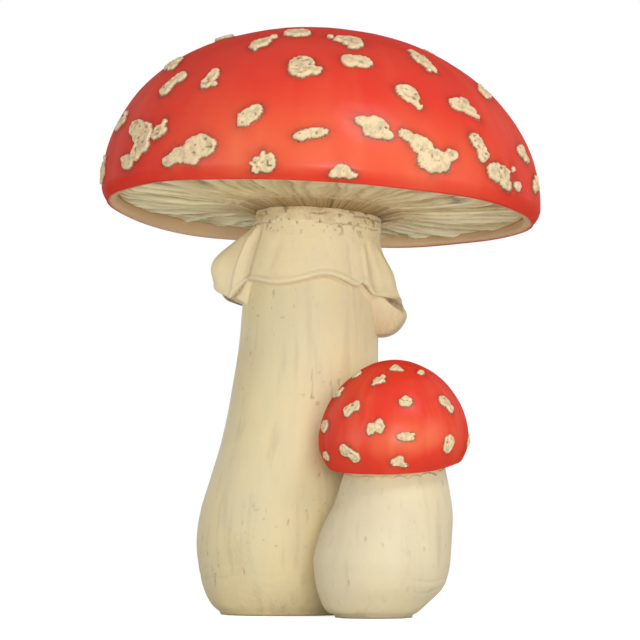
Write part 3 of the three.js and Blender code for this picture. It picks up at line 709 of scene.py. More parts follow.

# %% [markdown]
# ## Raised patches
# The patches are cast with the cap and painted cream. Each is a low crumbly mound with a ragged
# edge, a raised rim, an olive middle with pits, and a dark line at its foot that is ink and painted
# shadow, wider on its lower side. Their outlines are too odd for a disc, so each is a height map: a
# few ellipses melt into one shape, noise frays its edge, and the height follows from how deep inside
# the shape a point is. A small library holds the shapes, and a list says which one sits where, how
# wide and high it is and how it is turned. A seeded rule fills the sides that the photograph doesn't
# show.

# %% Shapes of the patches
# Each ellipse is (right, up, half across, half up), in shares of the patch's own half sizes.
SHAPES = {
    "egg": [(0.12, 0.0, 0.88, 0.95), (-0.5, -0.05, 0.5, 0.72)],
    "bean": [(-0.48, -0.1, 0.52, 0.85), (0.1, 0.15, 0.5, 0.66), (0.6, 0.0, 0.42, 0.8)],
    "comma": [
        (-0.33, 0.68, 0.5, 0.32),
        (0.3, 0.4, 0.66, 0.44),
        (0.46, -0.06, 0.48, 0.36),
        (0.12, -0.4, 0.32, 0.24),
        (-0.42, -0.64, 0.42, 0.3),
        (-0.93, -0.5, 0.16, 0.08),
    ],
    "torn": [
        (0, -0.1, 0.72, 0.6),
        (0.45, 0.7, 0.3, 0.34),
        (-0.5, -0.65, 0.36, 0.3),
        (0.78, -0.2, 0.24, 0.26),
    ],
    "club": [
        (0.4, 0.25, 0.58, 0.74),
        (-0.3, -0.2, 0.42, 0.5),
        (-0.76, -0.52, 0.26, 0.42),
        (0.15, -0.52, 0.3, 0.34),
    ],
    "shield": [
        (-0.15, -0.45, 0.7, 0.5),
        (0.1, 0.05, 0.62, 0.55),
        (0.05, 0.62, 0.42, 0.38),
        (0.78, -0.6, 0.22, 0.2),
    ],
    "claw": [
        (-0.35, -0.2, 0.5, 0.62),
        (0.12, 0.05, 0.5, 0.55),
        (0.45, 0.74, 0.3, 0.26),
        (-0.1, -0.85, 0.13, 0.2),
    ],
    "spurred": [(-0.2, 0.05, 0.8, 0.92), (0.62, -0.32, 0.36, 0.3), (0.92, -0.1, 0.12, 0.16)],
    "flat_club": [(0.25, 0.1, 0.75, 0.8), (-0.66, -0.2, 0.36, 0.7)],
    "crown": [
        (0.28, 0.0, 0.7, 0.86),
        (-0.55, 0.4, 0.3, 0.2),
        (-0.78, -0.1, 0.22, 0.14),
        (-0.55, -0.62, 0.36, 0.28),
        (0.0, 0.84, 0.16, 0.2),
        (0.55, 0.8, 0.18, 0.2),
    ],
    "bird": [
        (0.32, -0.05, 0.6, 0.7),
        (-0.3, 0.25, 0.42, 0.34),
        (-0.82, 0.55, 0.2, 0.16),
        (0.25, -0.78, 0.3, 0.25),
    ],
    "lens": [(-0.45, 0.1, 0.54, 0.75), (0.38, 0.12, 0.58, 0.68), (0.86, -0.1, 0.18, 0.18)],
    "fish": [(0, 0, 0.76, 0.8), (-0.78, 0.22, 0.3, 0.3), (0.84, 0.3, 0.22, 0.24), (0.78, -0.45, 0.2, 0.24)],
    "peak": [
        (-0.42, 0.0, 0.55, 0.62),
        (0.15, 0.4, 0.42, 0.5),
        (0.42, -0.38, 0.46, 0.48),
        (0.78, -0.76, 0.18, 0.18),
    ],
    "anvil": [(0.05, 0.05, 0.7, 0.88), (-0.66, 0.45, 0.38, 0.34), (0.78, -0.45, 0.26, 0.32)],
    "bat": [
        (-0.78, 0.78, 0.24, 0.24),
        (-0.52, 0.58, 0.3, 0.26),
        (-0.26, 0.28, 0.38, 0.4),
        (0.18, -0.38, 0.57, 0.6),
        (0.78, 0.0, 0.24, 0.36),
    ],
    "splash": [
        (-0.35, 0.18, 0.6, 0.75),
        (0.05, -0.6, 0.33, 0.38),
        (0.75, -0.42, 0.24, 0.4),
        (0.52, 0.8, 0.1, 0.2),
    ],
    "half_moon": [(-0.1, 0.0, 0.72, 0.8), (0.5, -0.42, 0.45, 0.42), (-0.62, -0.4, 0.38, 0.42)],
    "block": [(-0.46, -0.15, 0.46, 0.75), (0.42, 0.15, 0.55, 0.8)],
}
print("patch shapes:", list(SHAPES))

# %% Notches in the shapes
# They are cut out of a shape again, in the same shares.
NOTCHES = {
    "crown": [(-0.42, 0.16, 0.2, 0.1), (-0.42, -0.34, 0.16, 0.1)],
    "lens": [(-0.1, -0.72, 0.13, 0.3), (0.25, -0.7, 0.1, 0.2)],
    "anvil": [(0.6, 0.1, 0.15, 0.13)],
    "block": [(-0.05, 0.55, 0.07, 0.45), (0.02, -0.6, 0.07, 0.4)],
    "spurred": [(0.62, 0.12, 0.12, 0.12)],
    "splash": [(0.28, 0.2, 0.12, 0.16)],
}
print("notched shapes:", list(NOTCHES))

# %% Patches that the photograph shows


def patch(shape, bearing, climb, across, up, turn=0.0, flip=1):
    """One patch: its place in degrees, its size in millimetres, and how it is turned."""
    size = {"across": across, "up": up, "turn": turn, "flip": flip}
    return {"shape": shape, "bearing": bearing, "climb": climb, **size}


LARGE_PATCHES = [
    patch("torn", 192, 4, 18, 20),
    patch("comma", 216, 8.5, 34, 36),
    patch("torn", 225, 12, 14, 15),
    patch("club", 236, 4, 42, 21),
    patch("bean", 222, 30, 22, 13, 54),
    patch("shield", 237, 30, 15, 19),
    patch("peak", 210, 41, 20, 17),
    patch("spurred", 212, 59, 17, 15),
    patch("claw", 247, 48, 18, 25),
    patch("egg", 258, 56, 18, 17),
    patch("spurred", 264.5, 34, 22, 23),
    patch("bird", 278.5, 51, 25, 26),
    patch("lens", 280, 38, 20, 18),
    patch("egg", 252, 15, 19, 12.5, 38),
    patch("flat_club", 267.5, 9.5, 22, 9, 6),
    patch("crown", 256, -1, 17, 14),
    patch("half_moon", 275.5, -5, 18.5, 10),
    patch("anvil", 283, 13, 25, 18),
    patch("spurred", 294, 26, 22, 14, -45),
    patch("fish", 305.5, 44, 25, 14, -72),
    patch("peak", 311, 25.5, 25, 17),
    patch("bat", 297, 7, 42, 27),
    patch("torn", 330, 36.5, 18, 16),
    patch("bean", 313, 11.5, 20, 12, -65),
    patch("splash", 322.5, 4, 42, 17),
    patch("peak", 335, 15, 18, 13),
    patch("torn", 343, 6, 18, 13),
    patch("torn", 201.5, 19, 15, 14),
    patch("egg", 350, 62, 17, 14),
    patch("anvil", 90, 73, 22, 18),
]
SMALL_PATCHES = [
    patch("peak", 277, 69.5, 9, 8),
    patch("egg", 318, 60, 5.5, 4.5),
    patch("torn", 249, 56, 10, 9),
    patch("bean", 228.5, 30, 13, 9, 30),
    patch("egg", 280, 35, 9, 7.5),
    patch("bean", 322, 28, 13.5, 9, -62),
    patch("block", 253.5, 16, 12.5, 11),
    patch("fish", 277, 8, 12, 7),
    patch("egg", 313, -1, 12, 9.5, 60),
    patch("egg", 198.5, 14.5, 9, 9),
    patch("bean", 232, -4, 17, 8.5, -32),
    patch("peak", 271, -14, 11, 8.5),
    patch("egg", 203, -10, 8, 7),
    patch("torn", 347, -5, 8, 8),
    patch("egg", 196, 60, 9, 8),
    patch("torn", 194, 41, 10, 9),
]
print("patches seen:", len(LARGE_PATCHES), "and", len(SMALL_PATCHES))

# %% Patches on the far side
# Each rule has a seed, the bearings between which it works, its rows, and its sizes in mm.
HIDDEN_LARGE = {
    "seed": 11,
    "span": (8, 176),
    "climbs": (3, 19, 36, 54),
    "lowest": 5.5,
    "spacing": 42,
    "size": 21,
    "spread": 7,
}
HIDDEN_SMALL = {
    "seed": 5,
    "span": (12, 176),
    "climbs": (-8, 14, 40),
    "lowest": -9,
    "spacing": 24,
    "size": 10,
    "spread": 3,
}
HIDDEN_SHAPES = ("egg", "torn", "spurred", "bean", "club", "peak", "anvil", "fish", "shield", "splash")
# Each number of the stream is the last one times the factor, in the remainder by the prime.
STREAM_FACTOR = 48271
STREAM_PRIME = 2147483647


def seeded_numbers(seed):
    """A repeatable stream of numbers from 0 to 1."""
    state = seed
    while True:
        state = state * STREAM_FACTOR % STREAM_PRIME
        yield state / STREAM_PRIME


def hidden_patches(rule, cap):
    """Patches on the far side, in staggered rows with some scatter."""
    random = seeded_numbers(rule["seed"])
    choice = seeded_numbers(rule["seed"] + 100)
    start, stop = rule["span"]
    found = []
    for level, climb in enumerate(rule["climbs"]):
        girth = math.radians(stop - start) * cap["radius"] * math.cos(math.radians(climb))
        count = max(2, round(girth / rule["spacing"]))
        step = (stop - start) / count
        for number in range(count):
            bearing = start + step * (number + 0.3 + 0.2 * (level % 2) + 0.3 * next(random))
            higher = max(climb + 8 * (next(random) - 0.5), rule["lowest"])
            across = rule["size"] + rule["spread"] * (next(random) - 0.3)
            up = (rule["size"] + rule["spread"] * (next(random) - 0.5)) * 0.85
            turn = 60 * (next(random) - 0.5)
            shape = HIDDEN_SHAPES[int(next(choice) * len(HIDDEN_SHAPES))]
            flip = 1 if next(choice) > 0.5 else -1
            found.append(patch(shape, bearing, higher, across, up, turn, flip))
    return found


large_specs = LARGE_PATCHES + hidden_patches(HIDDEN_LARGE, LARGE_CAP)
small_specs = SMALL_PATCHES + hidden_patches(HIDDEN_SMALL, SMALL_CAP)
print("patches:", len(large_specs), "on the large cap,", len(small_specs), "on the small one")

# %% From ellipses to a depth map
# Each patch reads its own layer of the noise, this far from the layer of the next seed.
LAYER_SPACING = 3.7
# Shares of a lump's size: the grid's margin, how far ellipses melt together, and how far notches do.
MARGIN = 0.8
MELT = 0.16
NOTCH_MELT = 0.1


def melted(right, up, ellipses, blend):
    """How deep inside the joined ellipses each point is, in mm. Below 0 is outside."""
    total = np.zeros_like(right)
    for x, y, half_across, half_up in ellipses:
        over, above = (right - x) / half_across, (up - y) / half_up
        reach = np.maximum(np.hypot(over, above), 1e-6)
        steepness = np.hypot(over / half_across, above / half_up) / reach
        deep = (1 - reach) * np.where(reach < 1, min(half_across, half_up), 1 / steepness)
        total += np.exp(deep / blend)
    return blend * np.log(total)


def sized(spec, ellipses):
    """Ellipses in millimetres, mirrored where the patch is."""
    half_across, half_up = spec["across"] / 2, spec["up"] / 2
    scale = np.array([half_across, half_up, half_across, half_up])
    return [np.array([x * spec["flip"], y, wide, high]) * scale for x, y, wide, high in ellipses]


def depth_map(cap, spec, seed):
    """A grid over the patch, and how deep inside its frayed outline each point is."""
    step, lump = cap["patch"]["step"], cap["patch"]["lump"]
    reach = [spec["across"] / 2 + MARGIN * lump, spec["up"] / 2 + MARGIN * lump]
    lines = [np.arange(-far, far + step, step) for far in reach]
    right, up = np.meshgrid(*lines)
    place = np.stack([right, up, np.full_like(right, seed * LAYER_SPACING)], axis=-1)
    axes = enumerate((right, up))
    warped = [axis + MELT * lump * noise(place, lump, seed + number) for number, axis in axes]
    depth = melted(*warped, sized(spec, SHAPES[spec["shape"]]), MELT * lump)
    notches = sized(spec, NOTCHES.get(spec["shape"], []))
    if notches:
        blend = NOTCH_MELT * lump
        depth = np.minimum(depth, blend - melted(right, up, notches, blend))
    fray = 0.13 * noise(place, 0.42 * lump, seed + 3) + 0.10 * noise(place, 0.2 * lump, seed + 4)
    return right, up, place, depth + lump * fray


sample_depth = depth_map(LARGE_CAP, large_specs[0], LARGE_CAP["seed"])[3]
print("the first patch is at most", round(float(sample_depth.max()), 1), "mm inside its outline")

# %% The faces of a mound
MENDING_ROUNDS = 3


def kept_cells(wanted):
    """Grid cells that touch a wanted point, with no two that meet only at a corner."""
    cells = wanted[:-1, :-1] | wanted[1:, :-1] | wanted[:-1, 1:] | wanted[1:, 1:]
    for _ in range(MENDING_ROUNDS):
        low_left, low_right = cells[:-1, :-1], cells[:-1, 1:]
        high_left, high_right = cells[1:, :-1], cells[1:, 1:]
        rising = low_left & high_right & ~low_right & ~high_left
        falling = low_right & high_left & ~low_left & ~high_right
        corner_only = rising | falling
        for part in (low_left, low_right, high_left, high_right):
            part |= corner_only
    return cells


def mound_faces(cells):
    """Quads of the kept cells, and a fan from their border to one point below. Also the points used."""
    rows, columns = np.nonzero(cells)
    width = cells.shape[1] + 1
    first = rows * width + columns
    quads = np.stack([first, first + 1, first + width + 1, first + width], axis=-1)
    starts, ends = quads.ravel(), np.roll(quads, -1, axis=1).ravel()
    size = (cells.shape[0] + 1) * width
    border = ~np.isin(ends * size + starts, starts * size + ends)
    used = np.unique(quads)
    order = np.zeros(size, int)
    order[used] = np.arange(len(used))
    faces = order[quads].tolist()
    root = len(used)
    edges = zip(order[starts[border]].tolist(), order[ends[border]].tolist())
    faces += [(end, start, root) for start, end in edges]
    return faces, used


sample_cells = kept_cells(np.eye(4, dtype=bool))
print("a diagonal of 4 points keeps", int(sample_cells.sum()), "of", sample_cells.size, "cells")

# %% The height and the paint of a mound
# The edge lies this far under the dome, and the foot brings it just above.
SUNK = 0.4
FOOT_RISE = 0.5
# The dark foot, ink and painted shadow, fades out over this width.
FOOT_FADE = 0.30


def mound_heights(sizes, spec, seed, up, place, depth):
    """How high each grid point stands off the dome, where the mound has a foot, and its pits."""
    lump = sizes["lump"]
    # The dark foot is ink and painted shadow, so it is wider on the patch's lower side.
    shadow = sizes["ink"] * (1 + 0.9 * np.clip(-up / spec["up"], -0.6, 1))
    shadow *= 1 + 0.6 * noise(place, 1.4 * lump, seed + 9)
    foot = smoothstep(-shadow - FOOT_FADE, -shadow, depth)
    wall = smoothstep(-0.25, 0.85, depth)
    rim = bump(depth, 0.28 * lump, 0.16 * lump)
    crumb = noise(place, 0.36 * lump, seed + 5, 2)
    pits = smoothstep(0.35, 0.7, noise(place, 0.34 * lump, seed + 7))
    pits *= smoothstep(0.15, 0.4, depth / lump)
    top = sizes["height"] * wall * (0.82 + 0.24 * rim + 0.2 * crumb - 0.5 * pits)
    return -SUNK + FOOT_RISE * foot + top, foot, pits


def mound_marks(sizes, seed, place, depth, pits):
    """Olive paint in the middle, a dark foot of ink and painted shadow, and dark in the pits."""
    lump = sizes["lump"]
    mottle = smoothstep(-0.25, 0.45, noise(place, 0.55 * lump, seed + 8, 2))
    inner = smoothstep(0.12, 0.34, depth / lump) * mottle
    ink_and_shadow_at_foot = 1 - smoothstep(-FOOT_FADE, FOOT_FADE, depth)
    dark = np.clip(1.1 * ink_and_shadow_at_foot + 0.75 * pits, 0, 1)
    return {"second": inner, "wash": dark}


print("a mound is", LARGE_CAP["patch"]["height"], "or", SMALL_CAP["patch"]["height"], "mm high")

# %% One closed mound


def beside_dome(cap, spec, right, up):
    """The patch's middle on the dome, and its grid laid flat against the dome there."""
    turn = math.radians(spec["turn"])
    bearing, climb = math.radians(spec["bearing"]), math.radians(spec["climb"])
    middle, out = dome(cap, bearing, climb), dome_out(cap, bearing, climb)
    along = np.array([-math.sin(bearing), math.cos(bearing), 0])
    upward = np.cross(out, along)
    across = along * math.cos(turn) + upward * math.sin(turn)
    over = upward * math.cos(turn) - along * math.sin(turn)
    return middle, middle + right[..., None] * across + up[..., None] * over


def patch_arrays(cap, spec, seed):
    """Points, faces, marks and outline of one crumbly mound."""
    sizes = cap["patch"]
    right, up, place, depth = depth_map(cap, spec, seed)
    lift, foot, pits = mound_heights(sizes, spec, seed, up, place, depth)
    faces, used = mound_faces(kept_cells(foot > 0))
    middle, flat = beside_dome(cap, spec, right, up)
    points = lifted(cap, flat.reshape(-1, 3)[used], lift.ravel()[used])
    root = lifted(cap, middle, -sizes["height"])
    marks = mound_marks(sizes, seed, place, depth, pits)
    marks = {name: np.append(values.ravel()[used], 0) for name, values in marks.items()}
    outline = points[np.abs(depth.ravel()[used]) < 0.5 * sizes["step"]]
    return to_ground(cap, np.vstack([points, root])), faces, marks, to_ground(cap, outline)


sample_faces = patch_arrays(LARGE_CAP, large_specs[0], LARGE_CAP["seed"])[1]
print("the first mound has", len(sample_faces), "faces")

# %% All the patches of a cap


def patches_piece(name, cap, specs):
    """All the patches of one cap as one mesh, and the outlines on the dome."""
    seeds = [100 + 10 * number + cap["seed"] for number in range(len(specs))]
    made = [patch_arrays(cap, spec, seed) for spec, seed in zip(specs, seeds)]
    faces = []
    start = 0
    for points, own_faces, _, _ in made:
        faces.extend([corner + start for corner in face] for face in own_faces)
        start += len(points)
    points, _, own_marks, outlines = zip(*made)
    marks = {mark: np.concatenate([one[mark] for one in own_marks]) for mark in ("second", "wash")}
    piece = new_piece(name, np.vstack(points), faces, patch_paint, marks)
    return piece, np.vstack(outlines)


large_patches, large_outlines = patches_piece("large_cap_patches", LARGE_CAP, large_specs)
small_patches, small_outlines = patches_piece("small_cap_patches", SMALL_CAP, small_specs)
finish_piece(large_patches, "stem_cream")
finish_piece(small_patches, "stem_cream")

# %% [markdown]
# ## Cap skins
# The red shell is one closed skin: the dome, the lip that rolls in under it, and a plain inner
# wall. The painter left the lip brown where it turns in and let orange show low on the front and
# in streaks down from the crown. Low on the front the orange is also a painted highlight, and the
# dark wash round each patch is also painted shadow. Those three go with the mesh as values.

# %% Lip and inner wall
LIP_RINGS = 11
INSIDE_RINGS = 5
WALL_RINGS = 7
# The large rim sags at the back, and most at this bearing, over this many degrees.
LOWEST_HANG = (132, 20)


def lip_rows(cap, bearing):
    """Rings round the rolled edge, up its inner side and over the inner wall."""
    lip_radius = cap["rim_radius"] - cap["lip"]
    middle = (cap["rim_radius"] + lip_radius) / 2
    circle = circle_at(bearing)
    swing = np.linspace(0, math.pi, LIP_RINGS + 1)[1:, None]
    height = 0.1 * cap["lip"] * (1 - np.cos(swing)) - 0.16 * cap["lip"] * np.sin(swing)
    lip = rings(circle, middle + cap["lip"] / 2 * np.cos(swing), height)
    rise = np.linspace(0.2 * cap["lip"], cap["recess"] + 2, INSIDE_RINGS + 1)[1:, None]
    inside = rings(circle, lip_radius, rise)
    wave = 0.8 * noise(circle * lip_radius, 0.35 * cap["radius"], cap["seed"] + 6)
    hang = 0.4 * np.clip(np.sin(bearing), 0, 1) + bump(np.degrees(bearing), *LOWEST_HANG)
    wave -= cap["sag"] * hang
    lip[..., 2] += wave
    inside[..., 2] += wave
    start = math.asin((cap["recess"] + 6) / (cap["rise"] - cap["wall"]) * 0.5)
    climb = np.linspace(start, math.pi / 2 - 0.05, WALL_RINGS)[:, None]
    return lip, inside, dome(cap, bearing, climb, cap["wall"])


print("rings of the lip and inner wall:", LIP_RINGS + INSIDE_RINGS + WALL_RINGS)

# %% How a cap is painted
# A dark stain and painted shadow fade out from each patch over this width, a little more on a larger cap.
STAIN_AND_SHADOW_WIDTH = 0.45
STAIN_AND_SHADOW_SHARE = 0.012
# The paint is orange low on the front, where it is also a painted highlight: a middle and a width,
# in degrees round and up.
ORANGE_AND_HIGHLIGHT_ROUND = (270, 38)
ORANGE_AND_HIGHLIGHT_UP = (5, 14)
# The brown starts this far round the lip, and further round where the red runs over it.
BROWN_START = 0.10
RED_OVER_LIP = 0.22
RED_LIP_ROUND = (50, 35)


def nearest_distance(points, others):
    """Distance from each point to the nearest of the others."""
    tree = KDTree(len(others))
    for index, other in enumerate(others):
        tree.insert(other, index)
    tree.balance()
    return np.array([tree.find(point)[2] for point in points])


def cap_tint_and_highlight(cap, bearing, climb, outer):
    """Where the paint turns orange: clouds, streaks down from the crown, and a painted highlight low in
    front.
    """
    way = np.stack(np.broadcast_arrays(np.cos(bearing), np.sin(bearing), 0.14 * climb), axis=-1)
    clouds = noise(outer, 0.5 * cap["radius"], cap["seed"] + 12, 2)
    streaks = noise(way, 0.07, cap["seed"] + 14, 2)
    # Low on the front the orange is also a painted highlight.
    low_front = bump(np.degrees(bearing), *ORANGE_AND_HIGHLIGHT_ROUND) * bump(np.degrees(climb), *ORANGE_AND_HIGHLIGHT_UP)
    return np.clip(0.02 + 0.34 * clouds + 0.20 * streaks + 0.70 * low_front, 0, 1)


def cap_marks(cap, bearing, climb, outer, lip_count, row_count):
    """Orange and painted highlight on the dome, and brown on the lip and inside, for each point of the
    rows.
    """
    steps = len(climb)
    glow = np.zeros((row_count, bearing.size))
    glow[:steps] = cap_tint_and_highlight(cap, bearing, climb, outer)
    brown = np.zeros_like(glow)
    start = BROWN_START + RED_OVER_LIP * bump(np.degrees(bearing), *RED_LIP_ROUND)
    over_lip = np.linspace(0, 1, lip_count)[:, None]
    brown[steps : steps + lip_count] = smoothstep(0.0, 0.5, over_lip - start)
    brown[steps + lip_count :] = 1
    return {"glow": glow, "second": 1.6 * brown}


def stained_and_shaded(cap, points, outlines):
    """Dark wash and painted shadow round each patch."""
    distance = nearest_distance(points, outlines)
    stain_and_shadow = np.exp(-distance / (STAIN_AND_SHADOW_SHARE * cap["radius"] + STAIN_AND_SHADOW_WIDTH))
    stain_and_shadow *= 0.62 + 0.4 * noise(points, 9.0, cap["seed"] + 8)
    return np.clip(stain_and_shadow, 0, 1)


print("stain round a patch:", round(STAIN_AND_SHADOW_WIDTH + STAIN_AND_SHADOW_SHARE * LARGE_CAP["radius"], 2), "mm")

# %% Cap skin
# The top ring is this angle from the apex, in radians.
APEX_GAP = 0.012


def cap_skin(name, cap, outlines, sides, steps):
    """The red shell: dome, rolled lip, and a plain inner wall that closes it."""
    bearing = np.linspace(0, 2 * math.pi, sides, endpoint=False)[None, :]
    climb = np.linspace(math.pi / 2 - APEX_GAP, rim_climb(cap), steps)[:, None]
    plain = dome(cap, bearing, climb)
    outer = plain + dome_out(cap, bearing, climb) * cap_relief(cap, plain)[..., None]
    lip, inside, inner = lip_rows(cap, bearing)
    rows = np.concatenate([outer, lip, inside, inner])
    apex = to_ground(cap, outer[0].mean(0))
    inner_apex = to_ground(cap, dome(cap, 0.0, math.pi / 2, cap["wall"]))
    points, faces = skin_arrays(to_ground(cap, rows), apex, inner_apex)
    marks = cap_marks(cap, bearing, climb, outer, len(lip), len(rows))
    marks = {mark: np.append(values.ravel(), [0, 1]) for mark, values in marks.items()}
    marks["wash"] = stained_and_shaded(cap, points, outlines)
    return new_piece(name, points, faces, cap_paint, marks)


large_cap = cap_skin("large_cap_skin", LARGE_CAP, large_outlines, 440, 150)
small_cap = cap_skin("small_cap_skin", SMALL_CAP, small_outlines, 280, 100)
finish_piece(large_cap, "cap_red", "large_cap")
finish_piece(small_cap, "cap_red", "small_cap")

# %% [markdown]
# ## Gills
# Under each cap runs a disc of folds from the neck out to the lip. They wander, merge and fork,
# so they are not copies of one rib: each crest is a line along which a stretched noise takes one
# value, and such lines never run straight. Geometry Nodes suits that: a grid is rolled into a
# ring, each point is lowered where it lies near a line, and the grid's last rows run back above
# the first ones, so that the ring closes into a solid. How near each line is goes with the mesh
# as values, for the paint, which puts a painted highlight on each crest and painted shade in the
# grooves. The tree's inputs are the real sizes, so both discs come from it.

# %% Gill tree: a grid rolled into a closed ring
GRID_AROUND = 841
GRID_ALONG = 67
# The grid's last rows run back above the others, and arch up by a quarter of this.
ROWS_BEHIND = 3
LIFT_BEHIND = 18.0
GILL_SIZE_INPUTS = ("Inner Radius", "Outer Radius", "Neck Level", "Edge Level", "Fold Depth")
GILL_LOOK_INPUTS = ("Folds", "Seed", "Rust")

GILL_TREE = bpy.data.node_groups.new("gill_folds", "GeometryNodeTree")
GILL_TREE.interface.new_socket("Geometry", in_out="OUTPUT", socket_type="NodeSocketGeometry")
for name in GILL_SIZE_INPUTS + GILL_LOOK_INPUTS:
    GILL_TREE.interface.new_socket(name, in_out="INPUT", socket_type="NodeSocketFloat")
GILL_TREE.interface.new_socket("Material", in_out="INPUT", socket_type="NodeSocketMaterial")
gill_inputs = GILL_TREE.nodes.new("NodeGroupInput").outputs


def gill_maths(operation, *values, clamp=False):
    """One Math node of the gill tree."""
    return maths(GILL_TREE, operation, *values, clamp=clamp)


def gill_range(value, low, high, start=0.0, stop=1.0):
    """One Map Range node of the gill tree."""
    return map_range(GILL_TREE, value, low, high, start, stop)


gill_grid = add_node(
    GILL_TREE, "GeometryNodeMeshGrid", Size_X=1.0, Size_Y=1.0, Vertices_X=GRID_AROUND, Vertices_Y=GRID_ALONG
)
grid_place = add_node(GILL_TREE, "ShaderNodeSeparateXYZ")
wire(GILL_TREE, GILL_TREE.nodes.new("GeometryNodeInputPosition").outputs[0], grid_place.inputs[0])
around = gill_maths("MULTIPLY_ADD", grid_place.outputs[0], 2 * math.pi, math.pi)
row_share = gill_maths("ADD", grid_place.outputs[1], 0.5)
last_front = 1 - ROWS_BEHIND / (GRID_ALONG - 1)
front = gill_range(row_share, 0.0, last_front)
behind = gill_range(row_share, last_front, 1.0)
along = gill_maths("SUBTRACT", front, behind)
arch = gill_maths("MULTIPLY", behind, gill_maths("SUBTRACT", 1.0, behind))
lift_behind = gill_maths("MULTIPLY", arch, LIFT_BEHIND)
print("gill grid", GRID_AROUND, "by", GRID_ALONG)

# %% Gill tree: helpers for lines of noise
# Noise is read on the unit circle and hardly moves outward, so its lumps are long streaks.
STREAK_RISE = 0.085
WOBBLE_RISE = 0.6
WOBBLE_SCALE = 4.0
WOBBLE = 0.30


def round_place(angle, rise):
    """A place on the unit circle that rises from the neck to the lip."""
    node = add_node(GILL_TREE, "ShaderNodeCombineXYZ")
    wire(GILL_TREE, gill_maths("COSINE", angle), node.inputs[0])
    wire(GILL_TREE, gill_maths("SINE", angle), node.inputs[1])
    wire(GILL_TREE, gill_maths("MULTIPLY", along, rise), node.inputs[2])
    return node.outputs[0]


def gill_noise(place, scale, detail=0.0):
    """Seeded noise at a place. The scale is a socket or a number."""
    node = add_node(GILL_TREE, "ShaderNodeTexNoise", noise_dimensions="4D", Detail=detail)
    wire(GILL_TREE, place, node.inputs["Vector"])
    feed(GILL_TREE, scale, node.inputs["Scale"])
    wire(GILL_TREE, gill_inputs["Seed"], node.inputs["W"])
    return node.outputs[0]


def gill_line(value, sharpness):
    """1 where the noise takes its middle value, and 0 away from that line. A sharper line is thinner."""
    off = gill_maths("ABSOLUTE", gill_maths("SUBTRACT", value, 0.5))
    return gill_maths("SUBTRACT", 1.0, gill_maths("MULTIPLY", off, sharpness, clamp=True))


def streaks(folds_share, shift=0.0):
    """Streaks, as many as this share of the folds, turned a little round by the shift."""
    scale = gill_maths("MULTIPLY", gill_inputs["Folds"], folds_share)
    return gill_noise(round_place(gill_maths("ADD", bent, shift), STREAK_RISE), scale)


wobble_place = round_place(around, WOBBLE_RISE)
wobble = gill_noise(wobble_place, WOBBLE_SCALE, 2.0)
bent = gill_maths("MULTIPLY_ADD", gill_maths("SUBTRACT", wobble, 0.5), WOBBLE, around)
print("streaks wander by up to", round(math.degrees(WOBBLE / 2), 1), "degrees")

# %% Gill tree: crests, grooves and pits
MAIN_FOLDS = 0.30
SIDE_FOLDS = 0.85
FINE_FOLDS = 1.6
# A groove runs beside each crest, turned from it by this much in radians.
GROOVE_SHIFT = 0.045
FINE_SHIFT = 0.03
PIT_SCALE = 34.0
NECK_DROOP = 5.0

main_streaks = streaks(MAIN_FOLDS)
main_line = gill_line(main_streaks, 8.0)
main_highlight = gill_line(main_streaks, 11.0)
side_streaks = streaks(SIDE_FOLDS)
side_line = gill_line(side_streaks, 8.0)
side_highlight = gill_line(side_streaks, 16.0)
groove_streaks = streaks(MAIN_FOLDS, GROOVE_SHIFT)
groove_line = gill_line(groove_streaks, 12.0)
groove_shade_line = gill_line(groove_streaks, 24.0)
fine_highlight_lines = gill_line(streaks(FINE_FOLDS), 7.0)
fine_shade_lines = gill_line(streaks(FINE_FOLDS, FINE_SHIFT), 12.0)
near_neck = gill_range(along, 0.40, 0.06)
pit_noise = gill_noise(wobble_place, PIT_SCALE, 1.0)
pits = gill_maths("MULTIPLY", gill_range(pit_noise, 0.57, 0.65), near_neck)
crest = gill_maths("MULTIPLY_ADD", main_line, 0.50, gill_maths("MULTIPLY", side_line, 0.42))
carved = gill_maths("MULTIPLY_ADD", groove_line, 0.45, gill_maths("MULTIPLY", pits, 0.35))
print("gill tree has", len(GILL_TREE.nodes), "nodes so far")

# %% Gill tree: where the folds are deep
# They start shallow at the neck, end before the lip, and are calmer at the front.
from_neck = gill_range(along, 0.05, 0.55, 0.08, 1.0)
before_lip = gill_range(along, 0.93, 1.0, 1.0, 0.0)
calm_front = gill_range(gill_maths("SINE", around), -0.95, -0.45, 0.38, 1.0)
fade = gill_maths("MULTIPLY", gill_maths("MULTIPLY", from_neck, before_lip), calm_front)
at_neck = gill_range(along, 0.0, 0.13, 1.0, 0.0)
neck_droop = gill_maths("MULTIPLY", gill_maths("POWER", at_neck, 2.0), NECK_DROOP)
standing = gill_maths("MULTIPLY", gill_maths("SUBTRACT", crest, carved), fade)
lowered = gill_maths("MULTIPLY", standing, gill_inputs["Fold Depth"])
print("gill tree has", len(GILL_TREE.nodes), "nodes so far")

# %% Gill tree: places, and values for the paint with its painted highlights and shade
gill_width = gill_maths("SUBTRACT", gill_inputs["Outer Radius"], gill_inputs["Inner Radius"])
gill_radius = gill_maths("MULTIPLY_ADD", along, gill_width, gill_inputs["Inner Radius"])
gill_slope = gill_maths("SUBTRACT", gill_inputs["Edge Level"], gill_inputs["Neck Level"])
gill_level = gill_maths("MULTIPLY_ADD", along, gill_slope, gill_inputs["Neck Level"])
gill_under = gill_maths("ADD", gill_level, lift_behind)
gill_height = gill_maths("SUBTRACT", gill_maths("SUBTRACT", gill_under, lowered), neck_droop)
gill_place = add_node(GILL_TREE, "ShaderNodeCombineXYZ")
wire(GILL_TREE, gill_maths("MULTIPLY", gill_radius, gill_maths("COSINE", around)), gill_place.inputs[0])
wire(GILL_TREE, gill_maths("MULTIPLY", gill_radius, gill_maths("SINE", around)), gill_place.inputs[1])
